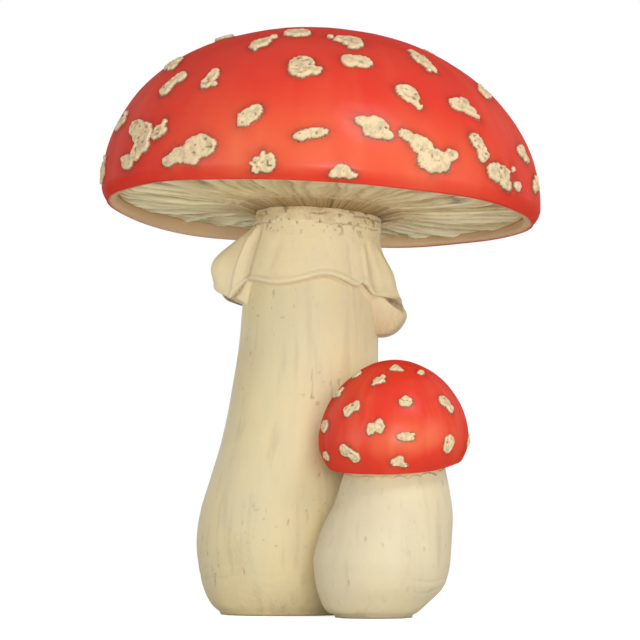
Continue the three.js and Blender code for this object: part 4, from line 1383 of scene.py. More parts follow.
wire(GILL_TREE, gill_height, gill_place.inputs[2])
# Painted shade lies in the grooves and beside each crest, and painted highlights along the crests.
off_main = gill_maths("SUBTRACT", 1.0, main_line)
off_side = gill_maths("SUBTRACT", 1.0, side_line)
valley_shade = gill_maths("POWER", gill_maths("MULTIPLY", off_main, off_side), 2.0)
painted_groove_shade = gill_maths("MULTIPLY_ADD", valley_shade, 0.60, groove_shade_line)
light = gill_maths("MULTIPLY_ADD", main_highlight, 0.9, gill_maths("MULTIPLY", side_highlight, 0.6))
neck_shade_lines = gill_maths("MULTIPLY", gill_maths("MULTIPLY", fine_shade_lines, near_neck), 0.30)
neck_highlight_lines = gill_maths("MULTIPLY", gill_maths("MULTIPLY", fine_highlight_lines, near_neck), 0.35)
rust = gill_maths("MULTIPLY", near_neck, gill_inputs["Rust"])
# wash is painted shade in the grooves with dark pits, glow is the painted highlight on the crests, and
# second is rust near the neck.
gill_marks = {
    "wash": gill_maths("MULTIPLY_ADD", pits, 0.8, gill_maths("MULTIPLY_ADD", painted_groove_shade, fade, neck_shade_lines)),
    "glow": gill_maths("MULTIPLY_ADD", light, fade, neck_highlight_lines),
    "second": gill_maths("MULTIPLY", rust, pit_noise),
}
print("gill paint reads", list(gill_marks))

# %% Gill tree: from the grid to the output
# Points closer than this are merged, in millimetres, which closes the ring's seam.
MERGE_DISTANCE = 0.02


def gill_step(kind, geometry, **values):
    """One node that changes the geometry. Values are sockets for its inputs by name."""
    node = GILL_TREE.nodes.new(kind)
    wire(GILL_TREE, geometry, node.inputs["Geometry"])
    for name, value in values.items():
        feed(GILL_TREE, value, node.inputs[name])
    return node


gill_shape = gill_grid.outputs["Mesh"]
for name, value in gill_marks.items():
    store = gill_step("GeometryNodeStoreNamedAttribute", gill_shape)
    store.data_type = "FLOAT"
    store.domain = "POINT"
    store.inputs["Name"].default_value = name
    wire(GILL_TREE, value, store.inputs["Value"])
    gill_shape = store.outputs["Geometry"]
moved = gill_step("GeometryNodeSetPosition", gill_shape, Position=gill_place.outputs[0])
merged = gill_step("GeometryNodeMergeByDistance", moved.outputs[0], Distance=MERGE_DISTANCE)
smooth = gill_step("GeometryNodeSetShadeSmooth", merged.outputs[0])
real = gill_step("GeometryNodeRealizeInstances", smooth.outputs[0])
painted = gill_step("GeometryNodeSetMaterial", real.outputs[0], Material=gill_inputs["Material"])
gill_output = GILL_TREE.nodes.new("NodeGroupOutput")
wire(GILL_TREE, painted.outputs[0], gill_output.inputs["Geometry"])
print("gill tree has", len(GILL_TREE.nodes), "nodes")

# %% Grow a tree into a plain mesh


def grown(name, node_tree, **inputs):
    """Evaluates a tree with these inputs, and keeps only its mesh."""
    holder = bpy.data.objects.new(name, bpy.data.meshes.new(name + "_seed"))
    bpy.context.collection.objects.link(holder)
    modifier = holder.modifiers.new("nodes", "NODES")
    modifier.node_group = node_tree
    wanted = [item for item in node_tree.interface.items_tree if item.in_out == "INPUT"]
    sockets = {item.name: item.identifier for item in wanted}
    for label, value in inputs.items():
        modifier[sockets[label.replace("_", " ")]] = value
    bpy.context.view_layer.update()
    graph = bpy.context.evaluated_depsgraph_get()
    mesh = bpy.data.meshes.new_from_object(holder.evaluated_get(graph), depsgraph=graph)
    holder.modifiers.clear()
    holder.data = mesh
    mesh.name = name
    return holder


def placed_mesh(piece, cap):
    """Moves a mesh from a cap's frame in millimetres to the object's frame in metres."""
    turn = Matrix(cap_turn(cap).tolist()).to_4x4()
    place = Matrix.Translation(Vector(cap["place"]) * MM)
    piece.data.transform(place @ turn @ Matrix.Scale(MM, 4))
    make_outward(piece.data)
    piece.data.update()


print("the gill tree takes", GILL_SIZE_INPUTS + GILL_LOOK_INPUTS)

# %% Both gill discs
GILL_SIZES = {
    "large_gills": {
        "cap": LARGE_CAP,
        "node": "large_gill_disc",
        "neck": 39.0,
        "level": -0.5,
        "depth": 4.2,
        "folds": 20.0,
        "seed": 3.0,
        "rust": 1.0,
    },
    "small_veil": {
        "cap": SMALL_CAP,
        "node": "small_veil_disc",
        "neck": 29.0,
        "level": 2.0,
        "depth": 1.0,
        "folds": 18.0,
        "seed": 8.0,
        "rust": 0.0,
    },
}
for name, sizes in GILL_SIZES.items():
    cap = sizes["cap"]
    gills = grown(
        name,
        GILL_TREE,
        Inner_Radius=sizes["neck"],
        Outer_Radius=cap["rim_radius"] - cap["lip"],
        Neck_Level=sizes["level"] + sizes["depth"] / 2,
        Edge_Level=0.5 * cap["recess"] + sizes["depth"] / 2,
        Fold_Depth=sizes["depth"],
        Folds=sizes["folds"],
        Seed=sizes["seed"],
        Rust=sizes["rust"],
        Material=gill_paint,
    )
    placed_mesh(gills, cap)
    finish_piece(gills, "gill_cream", sizes["node"])

# %% [markdown]
# ## Stems
# A stem was turned by hand in clay before it was cast: round, with faint fibres that run down
# it, a few small nicks, and wrinkles low on the foot. Its outline is a smooth curve through a
# few stations, each with a height, a lean to the side and a radius. Fibres are noise squeezed
# across the stem and stretched along it. The skin reaches down round the felt pad, so that only
# the stem's own foot is seen to touch the ground.

# %% Stem sizes
LARGE_STEM = {
    "y": 0.0,
    "stations": [
        (2, -25, 43.5),
        (8, -25, 49.7),
        (21, -24.5, 56),
        (45, -23.8, 61),
        (70, -21.4, 60.7),
        (95, -17.9, 57.3),
        (120, -13.8, 53.8),
        (145, -11, 51),
        (182, -7.9, 48),
        (217, -6.2, 46.6),
        (250, -3, 43),
        (279.7, 0.15, 39),
    ],
    "sides": 300,
    "rows": 290,
    "seed": 61,
    "pad": 39.5,
}
SMALL_STEM = {
    "y": -83.0,
    "stations": [
        (2, 34.8, 25.5),
        (4, 34.4, 29.5),
        (9, 35.5, 34.2),
        (19, 38.6, 41),
        (30, 40, 44),
        (40, 40.7, 44.9),
        (57, 43.4, 43),
        (67, 45.6, 40.7),
        (77, 47.4, 37.4),
        (102, 49, 31),
    ],
    "sides": 260,
    "rows": 170,
    "seed": 81,
    "pad": 21.5,
}


def spline(knots, steps):
    """Points on a smooth curve through the knots, with this many steps between two knots."""
    padded = np.concatenate([2 * knots[:1] - knots[1:2], knots, 2 * knots[-1:] - knots[-2:-1]])
    shares = np.linspace(0, 1, steps, endpoint=False)
    curve = []
    for before, start, end, after in zip(padded, padded[1:], padded[2:], padded[3:]):
        slope = end - before
        bend = 2 * before - 5 * start + 4 * end - after
        twist = -before + 3 * start - 3 * end + after
        curve.extend(start + 0.5 * share * (slope + share * (bend + share * twist)) for share in shares)
    return np.array(curve + [knots[-1]])


def smooth_through(stations, count, steps=40):
    """Evenly spaced points on a smooth curve through the stations."""
    curve = spline(np.array(stations, float), steps)
    travelled = np.concatenate([[0], np.cumsum(np.linalg.norm(np.diff(curve, axis=0), axis=1))])
    places = np.linspace(0, travelled[-1], count)
    return np.stack([np.interp(places, travelled, curve[:, axis]) for axis in range(3)], axis=-1)


print("stem rows:", LARGE_STEM["rows"], "and", SMALL_STEM["rows"])

# %% Rows of a stem
FOOT_CLEARANCE = 0.4
PAD_CLEARANCE = 0.6


def stem_rows(cap, stem):
    """Rings that start level at the foot and end square to the cap, and their outward directions."""
    height, lean, radius = smooth_through(stem["stations"], stem["rows"]).T
    circle = circle_at(np.linspace(0, 2 * math.pi, stem["sides"], endpoint=False))
    share = ((height / height[-1]) ** 2)[:, None, None]
    tilted = circle @ cap_turn(cap).T
    ring = circle[None] * (1 - share) + tilted[None] * share
    middle = np.stack([lean, np.full_like(lean, stem["y"]), height], axis=-1)
    return middle[:, None, :] + ring * radius[:, None, None], ring


def foot_rows(stem, ring):
    """Three rings that carry the skin down to the ground and back up round the pad."""
    foot_height, lean, radius = stem["stations"][0]
    beside_pad = stem["pad"] + PAD_CLEARANCE
    rows = [
        (foot_height + 0.2, beside_pad),
        (FOOT_CLEARANCE, beside_pad),
        (FOOT_CLEARANCE, radius - 0.5),
    ]
    return np.stack([ring * reach + np.array([lean, stem["y"], height]) for height, reach in rows])


print("the skins end", FOOT_CLEARANCE, "mm above the ground")

# %% Stem skins
# Brown wash and second colour under the foot, where no one looks.
MARKS_UNDER_FOOT = {"wash": 0.2, "second": 0.4}


def stem_relief(rows, seed, worn):
    """Layers of the stem's surface, each from 0 to 1 or from -1 to 1. worn scales the nicks."""
    height = rows[..., 2]
    rare = smoothstep(-0.1, 0.6, noise(rows, 30, seed + 15))
    wrinkled = (1 - smoothstep(14, 46, height)) * smoothstep(-0.2, 0.5, noise(rows, 34, seed + 10))
    return {
        "lumps": noise(rows, 48, seed, 2),
        "waves": noise(squeezed(rows, 0.3), 14, seed + 2, 2),
        "fibres": noise(squeezed(rows, 0.07), 4.0, seed + 4, 2),
        "nicks": smoothstep(0.66, 0.88, noise(squeezed(rows, 0.25), 2.6, seed + 8)) * worn * rare,
        "pores": smoothstep(0.74, 0.86, noise(rows, 2.2, seed + 12)) * worn * rare,
        "wrinkles": np.sin(height * 0.9 + 3.0 * noise(rows, 16, seed + 9)) * wrinkled,
    }


def stem_swell(relief, height):
    """How far the surface stands off the plain stem. It is plain at the very foot."""
    swell = 0.9 * relief["lumps"] + 0.32 * relief["waves"] + 0.12 * relief["fibres"]
    swell = swell - 0.55 * relief["nicks"] - 0.4 * relief["pores"] + 0.18 * relief["wrinkles"]
    return swell * smoothstep(0, 6, height)


def stem_marks(relief, rows, height, seed, tan):
    """Darker in the hollows, and a tan second colour at the foot and in blotches."""
    wash = 0.16 * smoothstep(0.1, 0.8, -relief["fibres"]) + 0.45 * relief["nicks"] + 0.40 * relief["pores"]
    wash += 0.07 * smoothstep(0.1, 0.9, -relief["waves"])
    wash += 0.16 * smoothstep(0.3, 1.0, -relief["wrinkles"])
    blotches = noise(squeezed(rows, 0.6), 26, seed + 14, 2)
    second = tan * (0.12 * (1 - smoothstep(0, 50, height)) + 0.22 * smoothstep(0.05, 0.7, blotches))
    return {"wash": wash, "second": second}


def stem_skin(name, cap, stem, material, worn, tan):
    """A stem with fibres, nicks and lumps. worn scales the nicks, and tan the brown paint."""
    plain, ring = stem_rows(cap, stem)
    height = plain[..., 2]
    relief = stem_relief(plain, stem["seed"], worn)
    skin = plain + ring * stem_swell(relief, height)[..., None]
    foot = foot_rows(stem, ring[0])
    points, faces = skin_arrays(np.concatenate([foot, skin]), foot[0].mean(0), skin[-1].mean(0))
    marks = stem_marks(relief, skin, height, stem["seed"], tan)
    for mark, values in marks.items():
        below = np.full(foot.shape[:2], MARKS_UNDER_FOOT[mark])
        marks[mark] = np.append(np.clip(np.concatenate([below, values]), 0, 1).ravel(), [1, 1])
    return new_piece(name, points, faces, material, marks)


large_stem = stem_skin("large_stem_skin", LARGE_CAP, LARGE_STEM, stem_paint, 1.0, 1.0)
small_stem = stem_skin("small_stem_skin", SMALL_CAP, SMALL_STEM, small_stem_paint, 0.35, 0.5)
finish_piece(large_stem, "stem_cream", "large_stem")
finish_piece(small_stem, "stem_cream", "small_stem")

# %% [markdown]
# ## Skirt
# The skirt is the torn veil that hangs from the neck. On the real piece it isn't an open cloth:
# the mould could not reach behind it, so it is filled below its hem. It is one closed skin that
# starts under the gills, steps in at a ragged collar, bells out to a hem of its own, rolls round
# a bead there and runs back under to the stem. The hem is a closed curve through listed
# stations, so it hugs the stem in front and stands out as a wing on the left and a flap on the
# right, where a second lobe hangs below. The main folds are strokes, as a sculptor would cut
# them: each is a line down the skirt with a width and a height.

# %% Skirt sizes
# Each hem station is (bearing, radius, height).
SKIRT_HEM = [
    (0, 62.5, 215),
    (12, 61, 210.5),
    (30, 58, 206),
    (60, 57, 208),
    (90, 57, 214),
    (120, 59, 216),
    (145, 62, 218),
    (162, 66, 223),
    (174, 63.0, 226.5),
    (184, 63.4, 225.5),
    (190, 63.8, 223.5),
    (195, 63.0, 220.8),
    (199, 61.2, 218.4),
    (201.3, 59.4, 217.0),
    (203.2, 57.0, 218.5),
    (204.6, 54.6, 223.5),
    (206.2, 53.0, 228.0),
    (209, 52.2, 229.2),
    (213, 51.8, 229.0),
    (220, 51.6, 227.8),
    (228, 52, 226.4),
    (237, 52, 224.6),
    (250, 52.5, 224),
    (260, 52.5, 225.4),
    (270, 52, 227.8),
    (279, 52, 229.2),
    (289, 52.5, 228),
    (301, 53, 224),
    (307, 53.2, 222.8),
    (311.5, 52.8, 225.3),
    (317, 52.6, 222.5),
    (324, 54.0, 218.5),
    (331, 57.0, 217.5),
    (339, 61.0, 217),
    (349, 62.5, 216.5),
]
# Each stroke is (bearing, share down) at both ends, then its lift and its width in mm.
SKIRT_STROKES = [
    ((202, 0.12), (203.5, 0.97), 3.6, 1.6),
    ((194, 0.25), (198, 0.90), -0.8, 4.6),
    ((207, 0.12), (208, 0.95), -3.0, 4.6),
    ((236, 0.30), (233, 0.90), -0.8, 5.0),
    ((300, 0.35), (302, 0.90), -0.8, 2.6),
    ((315, 0.40), (316, 0.97), 1.5, 2.2),
    ((322, 0.30), (326, 0.95), -2.0, 3.2),
    ((335, 0.30), (340, 0.95), 2.0, 3.4),
    ((150, 0.20), (155, 0.95), 2.0, 5.0),
    ((112, 0.25), (108, 0.95), 1.6, 5.0),
    ((70, 0.25), (64, 0.95), 2.0, 5.0),
    ((30, 0.20), (26, 0.95), 1.8, 5.0),
]
# top, collar and crack are heights. collar_step is how far the collar stands out, cover how thick
# the skirt lies on the stem, and flare, bead, wing and flap how far each of them swells out.
SKIRT = {
    "top": 281.6,
    "collar": 265.4,
    "crack": 272.0,
    "collar_step": 0.9,
    "cover": 3.0,
    "flare": 1.3,
    "bead": 0.75,
    "wing": 13.6,
    "flap": 4.6,
    "tilt_radius": 44,
    "sides": 520,
    "rows": 118,
    "seed": 91,
}
# The lobe under the right flap, as (radius, height) from its crease to where it meets the stem.
LOBE = [(66.8, 205.5), (63.2, 197), (55.5, 191.8)]
LOBE_FOOT = 191.0
print("hem stations:", len(SKIRT_HEM), "and strokes:", len(SKIRT_STROKES))

# %% Curves and strokes of the skirt
# Strokes are measured round a skirt of this radius, and fade in and out over this share of it.
STROKE_RADIUS = 54
STROKE_FADE = 0.12


def closed_curve(stations, count):
    """A smooth closed curve through stations of (bearing, radius, height)."""
    knots = np.array(stations, float)
    one_round = np.array([360, 0, 0])
    fine = smooth_through(np.vstack([knots[-3:] - one_round, knots, knots[:3] + one_round]), 4000)
    order = np.argsort(fine[:, 0])
    bearings = np.linspace(0, 360, count, endpoint=False)
    radius, height = [np.interp(bearings, fine[order, 0], fine[order, axis]) for axis in (1, 2)]
    return bearings, radius, height


def stem_at(height):
    """Lean and radius of the large stem at some heights."""
    level, lean, radius = smooth_through(LARGE_STEM["stations"], 300).T
    return np.interp(height, level, lean), np.interp(height, level, radius)


def apart(bearings, middle):
    """How far each bearing is from the middle one, from -180 to 180 degrees."""
    return (bearings - middle + 180) % 360 - 180


def stroked(bearings, share):
    """Height of the sculptor's strokes at each bearing and share down the skirt."""
    total = np.zeros(np.broadcast(bearings, share).shape)
    for (start_bearing, start), (end_bearing, end), lift, width in SKIRT_STROKES:
        line = start_bearing + (end_bearing - start_bearing) * (share - start) / (end - start)
        within = smoothstep(start - STROKE_FADE, start + STROKE_FADE, share)
        within = within * (1 - smoothstep(end, end + STROKE_FADE, share))
        total += lift * bump(np.radians(apart(bearings, line)) * STROKE_RADIUS, 0, width) * within
    return total


# Turned is a bearing counted from the left, so that the right side has no jump in it.
skirt_bearings, hem_radius, hem_height = closed_curve(SKIRT_HEM, SKIRT["sides"])
skirt_angle = np.radians(skirt_bearings)
skirt_turned = (skirt_bearings - 180) % 360
skirt_circle = circle_at(skirt_angle)
# The skirt's top leans with the cap, by this much at this distance from the axis.
skirt_tilt = math.sin(math.radians(LARGE_CAP["roll"])) * SKIRT["tilt_radius"] * np.cos(skirt_angle)
print("hem from", round(float(hem_height.min()), 1), "to", round(float(hem_height.max()), 1), "mm high")

# %% The skirt's plain outside
# Where the wing and the flap swell out: a middle and a width, in degrees round and shares down.
WING_ROUND = (186, 13)
WING_DOWN = (0.60, 0.38)
FLAP_TURNED = (172, 24)
FLAP_DOWN = (0.62, 0.26)
# The collar flares out above this height, over this much of it.
FLARE_START = 270
FLARE_HEIGHT = 8


def on_skirt(radius, height):
    """Places round the large stem's own leaning middle."""
    lean, _ = stem_at(height)
    return skirt_circle * radius[..., None] + np.stack([lean, 0 * lean, height], axis=-1)


def ragged(size, seed, swing):
    """A ragged line round the skirt."""
    return swing * noise(skirt_circle * 50, size, seed, 2)


def skirt_form():
    """The outside before it is worked on: rows from under the gills down to the hem."""
    share = np.linspace(0, 1, SKIRT["rows"])[:, None]
    top = SKIRT["top"] - skirt_tilt
    height = top + (hem_height - top) * share
    collar = SKIRT["collar"] - skirt_tilt + ragged(9, 71, 1.3) + ragged(2.6, 73, 0.7)
    crack = SKIRT["crack"] - skirt_tilt + ragged(12, 75, 1.2) + ragged(3, 77, 0.5)
    down = np.clip((collar - height) / (collar - hem_height), 0, 1)
    _, stem_radius = stem_at(height)
    _, stem_at_hem = stem_at(hem_height)
    cover = SKIRT["cover"] - 0.9 * np.cos(skirt_angle)
    reach = np.maximum(0, hem_radius - stem_at_hem - cover)
    # A larger bell keeps the skirt on the stem for longer before it swings out to its hem.
    bell = 1.75 - 0.65 * np.cos(skirt_angle - math.radians(190)) - 0.4 * bump(skirt_bearings, 187, 16)
    flare = np.clip((height + skirt_tilt - FLARE_START) / FLARE_HEIGHT, 0, 1.3) ** 2
    flare = SKIRT["flare"] * flare * (1 + ragged(9, 99, 0.6))
    wing = SKIRT["wing"] * bump(skirt_bearings, *WING_ROUND) * bump(down, *WING_DOWN)
    wing = wing * smoothstep(0, 0.2, down)
    flap = SKIRT["flap"] * bump(skirt_turned, *FLAP_TURNED) * bump(down, *FLAP_DOWN)
    radius = stem_radius + cover + reach * down**bell + flare + wing + flap
    return {"height": height, "radius": radius, "down": down, "collar": collar, "crack": crack}


form = skirt_form()
print("skirt is up to", round(float(form["radius"].max()), 1), "mm from the stem's middle")

# %% The skirt's worked surface


def skirt_relief(form, place):
    """Layers of the surface: lines, folds, lumps, pits, strokes and the hem's bead."""
    height, down = form["height"], form["down"]
    above_collar = smoothstep(-0.5, 0.7, height - form["collar"])
    near_collar = smoothstep(-14, 2, height - form["collar"])
    ribs = noise(skirt_circle * 50 + 0 * place, 4.2, 84)
    from_hem = height - hem_height
    on_flap = smoothstep(136, 150, skirt_turned) * (1 - smoothstep(185, 215, skirt_turned))
    bead = SKIRT["bead"] * bump(from_hem, 0.8, 1.4) - 0.10 * bump(from_hem, 3.6, 1.2)
    bead *= (0.70 + 0.50 * noise(place, 13, 81)) * (1 - 0.7 * on_flap)
    return {
        "above_collar": above_collar,
        "near_collar": near_collar,
        "from_hem": from_hem,
        "ribs": ribs,
        "bead": bead,
        "collar_lumps": above_collar * (noise(place, 5.5, 83, 2) + 0.25 * ribs),
        "crack_line": bump(height, form["crack"], 0.7) * smoothstep(-0.2, 0.35, noise(place, 16, 79)),
        "folds": noise(squeezed(place, 0.35), 15, SKIRT["seed"], 2),
        "worn": noise(place, 4.5, SKIRT["seed"] + 2, 2),
        "pits": smoothstep(0.42, 0.66, noise(place, 2.6, 85)) * near_collar,
        "strokes": stroked(skirt_bearings, down),
    }


def skirt_swell(form, relief):
    """How far the worked surface stands off the plain outside."""
    step = SKIRT["collar_step"] * relief["above_collar"]
    swell = step + relief["bead"] + relief["strokes"] + relief["collar_lumps"]
    swell = swell - 0.8 * relief["crack_line"] - 0.7 * relief["pits"]
    loose = smoothstep(0.0, 0.3, form["down"])
    return swell + (0.7 * relief["folds"] + 0.14 * relief["worn"]) * loose


relief = skirt_relief(form, on_skirt(form["radius"], form["height"]))
highest_stroke = float(relief["strokes"].max())
print("strokes stand up to", round(highest_stroke, 1), "mm above the skirt")

# %% The skirt's paint


def skirt_wash_and_shade(form, relief, place):
    """Darker under the collar, in cracks and pits and along the bead, and painted shade in hollow strokes.
    """
    under_collar = bump(form["height"], form["collar"] - 0.7, 0.7)
    under_collar *= smoothstep(-0.5, 0.2, noise(place, 11, 87))
    above_bead = bump(relief["from_hem"], 4.0, 1.4) * smoothstep(-0.1, 0.6, noise(place, 15, 89))
    wash = 0.60 * under_collar + 0.70 * relief["crack_line"] + 0.65 * relief["pits"] + 0.10 * above_bead
    # Painted shade in the hollows of the strokes.
    wash += 0.22 * smoothstep(0.6, 2.6, -relief["strokes"]) + 0.05 * smoothstep(0.2, 0.8, -relief["worn"])
    return np.clip(wash, 0, 1)


def skirt_tan(form, relief, place):
    """Tan paint on the collar, above the crack, on the flap and in a few soft clouds."""
    above_crack = smoothstep(0, 3, form["height"] - form["crack"])
    second = 0.24 * relief["near_collar"] * smoothstep(-0.2, 0.6, noise(place, 10, 95, 2))
    second += 0.30 * relief["above_collar"] * (1 + noise(place, 7, 93, 2))
    second += above_crack * (0.35 + 0.25 * smoothstep(0.1, 0.7, -relief["ribs"]))
    second += 0.20 * bump(skirt_turned, 168, 22) * smoothstep(0, 0.5, form["down"])
    second += 0.20 * smoothstep(0.2, 0.8, noise(place, 24, 97, 2))
    return np.clip(second, 0, 1)


def skirt_outside(form, relief):
    """Rows from under the gills to the hem, and the paint values that go with them."""
    place = on_skirt(form["radius"], form["height"])
    skin = on_skirt(form["radius"] + skirt_swell(form, relief), form["height"])
    return skin, skirt_wash_and_shade(form, relief, place), skirt_tan(form, relief, place)


outside = skirt_outside(form, relief)
print("wash on the skirt is", round(float(outside[1].mean()), 3), "on average")

# %% The skirt's filled underside
# Rings between two knots of the underside's outline.
UNDERSIDE_STEPS = 6


def round_average(values, degrees):
    """Each value averaged with its neighbours within this many degrees round the skirt."""
    reach = round(degrees * len(values) / 360)
    return np.mean([np.roll(values, shift) for shift in range(-reach, reach + 1)], axis=0)


def knot(radius, height):
    """One knot of the underside at every bearing, as (radius, height)."""
    return np.stack(np.broadcast_arrays(radius, height, hem_height)[:2], axis=-1)


def plain_underside(edge):
    """Knots that run from the hem up over a shallow hollow and back to the stem."""
    _, stem_radius = stem_at(hem_height)
    depth = 1.4 + 0.5 * np.maximum(round_average(hem_radius - stem_radius, 12) - 3, 0)
    start = hem_radius - 2.8
    foot = stem_radius - 1.5
    third = knot(start + 0.35 * (foot - start), hem_height - 1.0 - 0.22 * depth)
    fourth = knot(start + 0.70 * (foot - start), hem_height - 1.0 - 0.58 * depth)
    return [
        edge,
        edge + np.array([-1.3, -1.5]),
        knot(start, hem_height - 0.9),
        third,
        (third + fourth) / 2,
        fourth,
        knot(foot, hem_height - 1.2 - depth),
    ]


def lobed_underside(edge):
    """Knots that run from the hem in to a crease, round the lobe and back to the stem."""
    _, stem_radius = stem_at(np.full_like(hem_height, LOBE_FOOT))
    deep = 3.2 * bump(skirt_turned, 159, 9)
    round_side = smoothstep(165, 178, skirt_turned)
    crease = knot(hem_radius - 2.4 - deep + 4.6 * round_side, hem_height - 5.0)
    body = [knot(radius, height) for radius, height in LOBE]
    return [
        edge,
        edge + knot(-1.8 + 1.8 * round_side, -2.0),
        crease,
        *body,
        knot(stem_radius - 1.5, LOBE_FOOT),
    ]


def skirt_underside(hem_row):
    """Rows from the hem back to the stem, with the lobe on the right, and their paint values."""
    lean, _ = stem_at(hem_row[:, 2])
    edge = knot(np.hypot(hem_row[:, 0] - lean, hem_row[:, 1]), hem_height)
    on_lobe = smoothstep(151, 166, skirt_turned) * (1 - smoothstep(188, 214, skirt_turned))
    share = on_lobe[:, None]
    pairs = zip(plain_underside(edge), lobed_underside(edge))
    knots = np.stack([plain * (1 - share) + lobe * share for plain, lobe in pairs])
    radius, height = np.moveaxis(spline(knots, UNDERSIDE_STEPS)[1:], -1, 0)
    step = np.linspace(0, 1, len(radius))[:, None]
    away = smoothstep(0, 0.15, step) * (1 - smoothstep(0.85, 1, step))
    swell = 0.9 * noise(on_skirt(radius, height), 9, 101, 2) * away
    # Painted shadow in the crease under the hem, and painted shade at the hem's underside and on the lobe
    # towards the stem.
    crease = bump(step, 0.26, 0.09) * (0.75 + 0.25 * smoothstep(148, 158, skirt_turned))
    wash = 0.80 * crease + 0.10 * (1 - smoothstep(0, 0.4, step)) + 0.14 * on_lobe * smoothstep(0.5, 1, step)
    second = 0.62 * on_lobe * (1 - 0.3 * step) + 0.04
    return on_skirt(radius + swell, height), wash, second


underside = skirt_underside(outside[0][-1])
print("underside rows:", len(underside[0]))

# %% Skirt
# The skin goes back up inside the stem, this far under the stem's own skin.
BURIED = 4


def skirt_inside(foot):
    """Rows that go back up inside the stem and close the skin, with paint that no one sees."""
    share = np.linspace(0, 1, 5)[1:, None]
    start = foot + BURIED
    height = start + (SKIRT["top"] - skirt_tilt - start) * share
    _, stem_radius = stem_at(height)
    hidden = np.full(height.shape, 0.5)
    return on_skirt(stem_radius - BURIED, height), hidden, hidden


inside = skirt_inside(underside[0][-1][:, 2])
rows, wash, second = [np.concatenate(parts) for parts in zip(outside, underside, inside)]
skirt_marks = {"wash": wash, "second": second}
skirt = new_piece("large_skirt_skin", *skin_arrays(rows), skirt_lit_paint, skirt_marks)
finish_piece(skirt, "stem_cream", "large_skirt")

# %% [markdown]
# ## Fringe under the small cap
# Where the small cap meets its stem, a thin torn rim of the veil clings to the neck. It is a low
# ring whose lower edge is ragged, with a few longer drips.

# %% Fringe
FRINGE = {"sides": 420, "neck": 31.8, "spread": 0.32, "cover": 1.1, "top": 1.6, "drop": 4.4, "seed": 131}
FRINGE_ROWS = 14
FRINGE_BURIED = 1.5
# Each drip is (bearing, length, width) in degrees and mm.
FRINGE_DRIPS = [
    (247, 3.0, 3.2),
    (262, 2.0, 2.6),
    (281, 2.6, 3.4),
    (296, 1.6, 2.4),
    (318, 2.2, 3.0),
    (215, 2.0, 3.4),
]


def fringe_drop(bearings, circle):
    """How far the ragged edge hangs down at each bearing."""
    seed = FRINGE["seed"]
    drop = FRINGE["drop"] + 1.3 * noise(circle * 32, 6, seed, 2) + 0.5 * noise(circle * 32, 1.8, seed + 2)
    for bearing, length, width in FRINGE_DRIPS:
        drop += length * bump(apart(bearings, bearing), 0, width)
    return drop


def fringe_piece():
    """A closed ragged ring round the small neck, in the small cap's frame."""
    seed = FRINGE["seed"]
    bearings = np.linspace(0, 360, FRINGE["sides"], endpoint=False)
    circle = circle_at(np.radians(bearings))
    share = np.linspace(0, 1, FRINGE_ROWS)[:, None]
    height = FRINGE["top"] - (FRINGE["top"] + fringe_drop(bearings, circle)) * share
    surface = FRINGE["neck"] - FRINGE["spread"] * height
    place = rings(circle, surface, height)
    thick = (FRINGE["cover"] + 0.35 * noise(place, 3.0, seed + 4)) * np.sqrt(np.clip(1 - share**4, 0, 1))
    outside = rings(circle, surface + thick, height)
    back = height[:1] + (height[-1:] - height[:1]) * np.array([[1.0], [0.5], [0.0]])
    inside = rings(circle, FRINGE["neck"] - FRINGE["spread"] * back - FRINGE_BURIED, back)
    rows = to_ground(SMALL_CAP, np.concatenate([outside, inside]))
    edge = 0.75 * smoothstep(0.80, 1.0, share) + 0.12 * smoothstep(0, 0.6, noise(place, 4, seed + 6))
    wash = np.concatenate([edge, np.full(inside.shape[:2], 0.8)])
    return new_piece("small_fringe_skin", *skin_arrays(rows), patch_paint, {"wash": wash})


finish_piece(fringe_piece(), "gill_cream")

# %% [markdown]
# ## Hidden steel, plugs and pads
# The rod, washers, nuts, dowel and pins stay as they were designed, and only get a finish:
# zinc-plated steel whose grey and gloss wander a little, bare filler on the plugs, and pale felt
# on the pads. A colour ramp over fine noise does for all three.

# %% Finishes for the designed pieces
COLOUR_RANGE = (0.35, 0.7)
RELIEF = 0.2


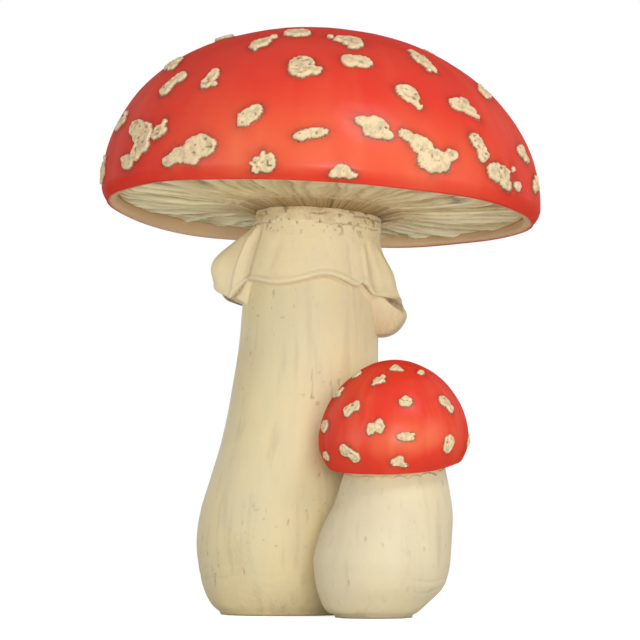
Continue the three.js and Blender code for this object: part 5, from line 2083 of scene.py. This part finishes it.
def plain_finish(name, colours, roughness, metallic, scale):
    """A finish whose colour and roughness wander with noise."""
    material = bpy.data.materials.new(name)
    material.use_nodes = True
    tree = material.node_tree
    shader = tree.nodes["Principled BSDF"]
    shader.inputs["Metallic"].default_value = metallic
    place = add_node(tree, "ShaderNodeTexCoord")
    grain = add_node(tree, "ShaderNodeTexNoise", Scale=scale, Detail=6.0, Roughness=0.7)
    wire(tree, place.outputs["Object"], grain.inputs["Vector"])
    ramp = add_node(tree, "ShaderNodeValToRGB")
    for element, position, colour in zip(ramp.color_ramp.elements, COLOUR_RANGE, colours):
        element.position = position
        element.color = (*colour, 1)
    wire(tree, grain.outputs["Fac"], ramp.inputs["Fac"])
    wire(tree, ramp.outputs["Color"], shader.inputs["Base Color"])
    wire(tree, map_range(tree, grain.outputs["Fac"], 0.0, 1.0, *roughness), shader.inputs["Roughness"])
    raised = add_node(tree, "ShaderNodeBump", Strength=0.5, Distance=RELIEF * MM)
    wire(tree, grain.outputs["Fac"], raised.inputs["Height"])
    wire(tree, raised.outputs["Normal"], shader.inputs["Normal"])
    return material


GREYS = ((0.55, 0.56, 0.58), (0.7, 0.7, 0.68))
FILLERS = ((0.62, 0.56, 0.44), (0.74, 0.69, 0.58))
FELTS = ((0.62, 0.57, 0.45), (0.78, 0.73, 0.6))
steel_finish = plain_finish("zinc_steel_finish", GREYS, (0.25, 0.5), 1.0, 900)
plug_finish = plain_finish("plug_filler_finish", FILLERS, (0.7, 0.95), 0.0, 300)
felt_finish = plain_finish("pad_felt_finish", FELTS, (0.9, 1.0), 0.0, 2500)
print("finishes:", steel_finish.name, plug_finish.name, felt_finish.name)

# %% Give each designed piece its finish
STEEL_NODES = (
    "large_tie_rod",
    "large_upper_washer",
    "large_upper_nut",
    "large_lower_washer",
    "large_lower_nut",
    "small_dowel",
    "stem_link_pin_lower",
    "stem_link_pin_upper",
)
FINISHES = {node: steel_finish for node in STEEL_NODES}
FINISHES.update({"large_base_plug": plug_finish, "small_base_plug": plug_finish})
FINISHES.update({"large_base_pad": felt_finish, "small_base_pad": felt_finish})
for node, finish in FINISHES.items():
    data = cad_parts[node].data
    data.materials.clear()
    data.materials.append(finish)
print("finished", len(FINISHES), "designed pieces")

# %% [markdown]
# ## Sizes, and the end
# The object's box is written out before and after the skins went on, to show that the looks
# didn't change its size.

# %% Write the sizes and finish
visual_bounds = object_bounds()
sizes = {
    "cad": [list(corner) for corner in cad_bounds],
    "visual": [list(corner) for corner in visual_bounds],
}
for label, corners in (("before", cad_bounds), ("after", visual_bounds)):
    print("box", label, [tuple(round(value, 4) for value in corner) for corner in corners])
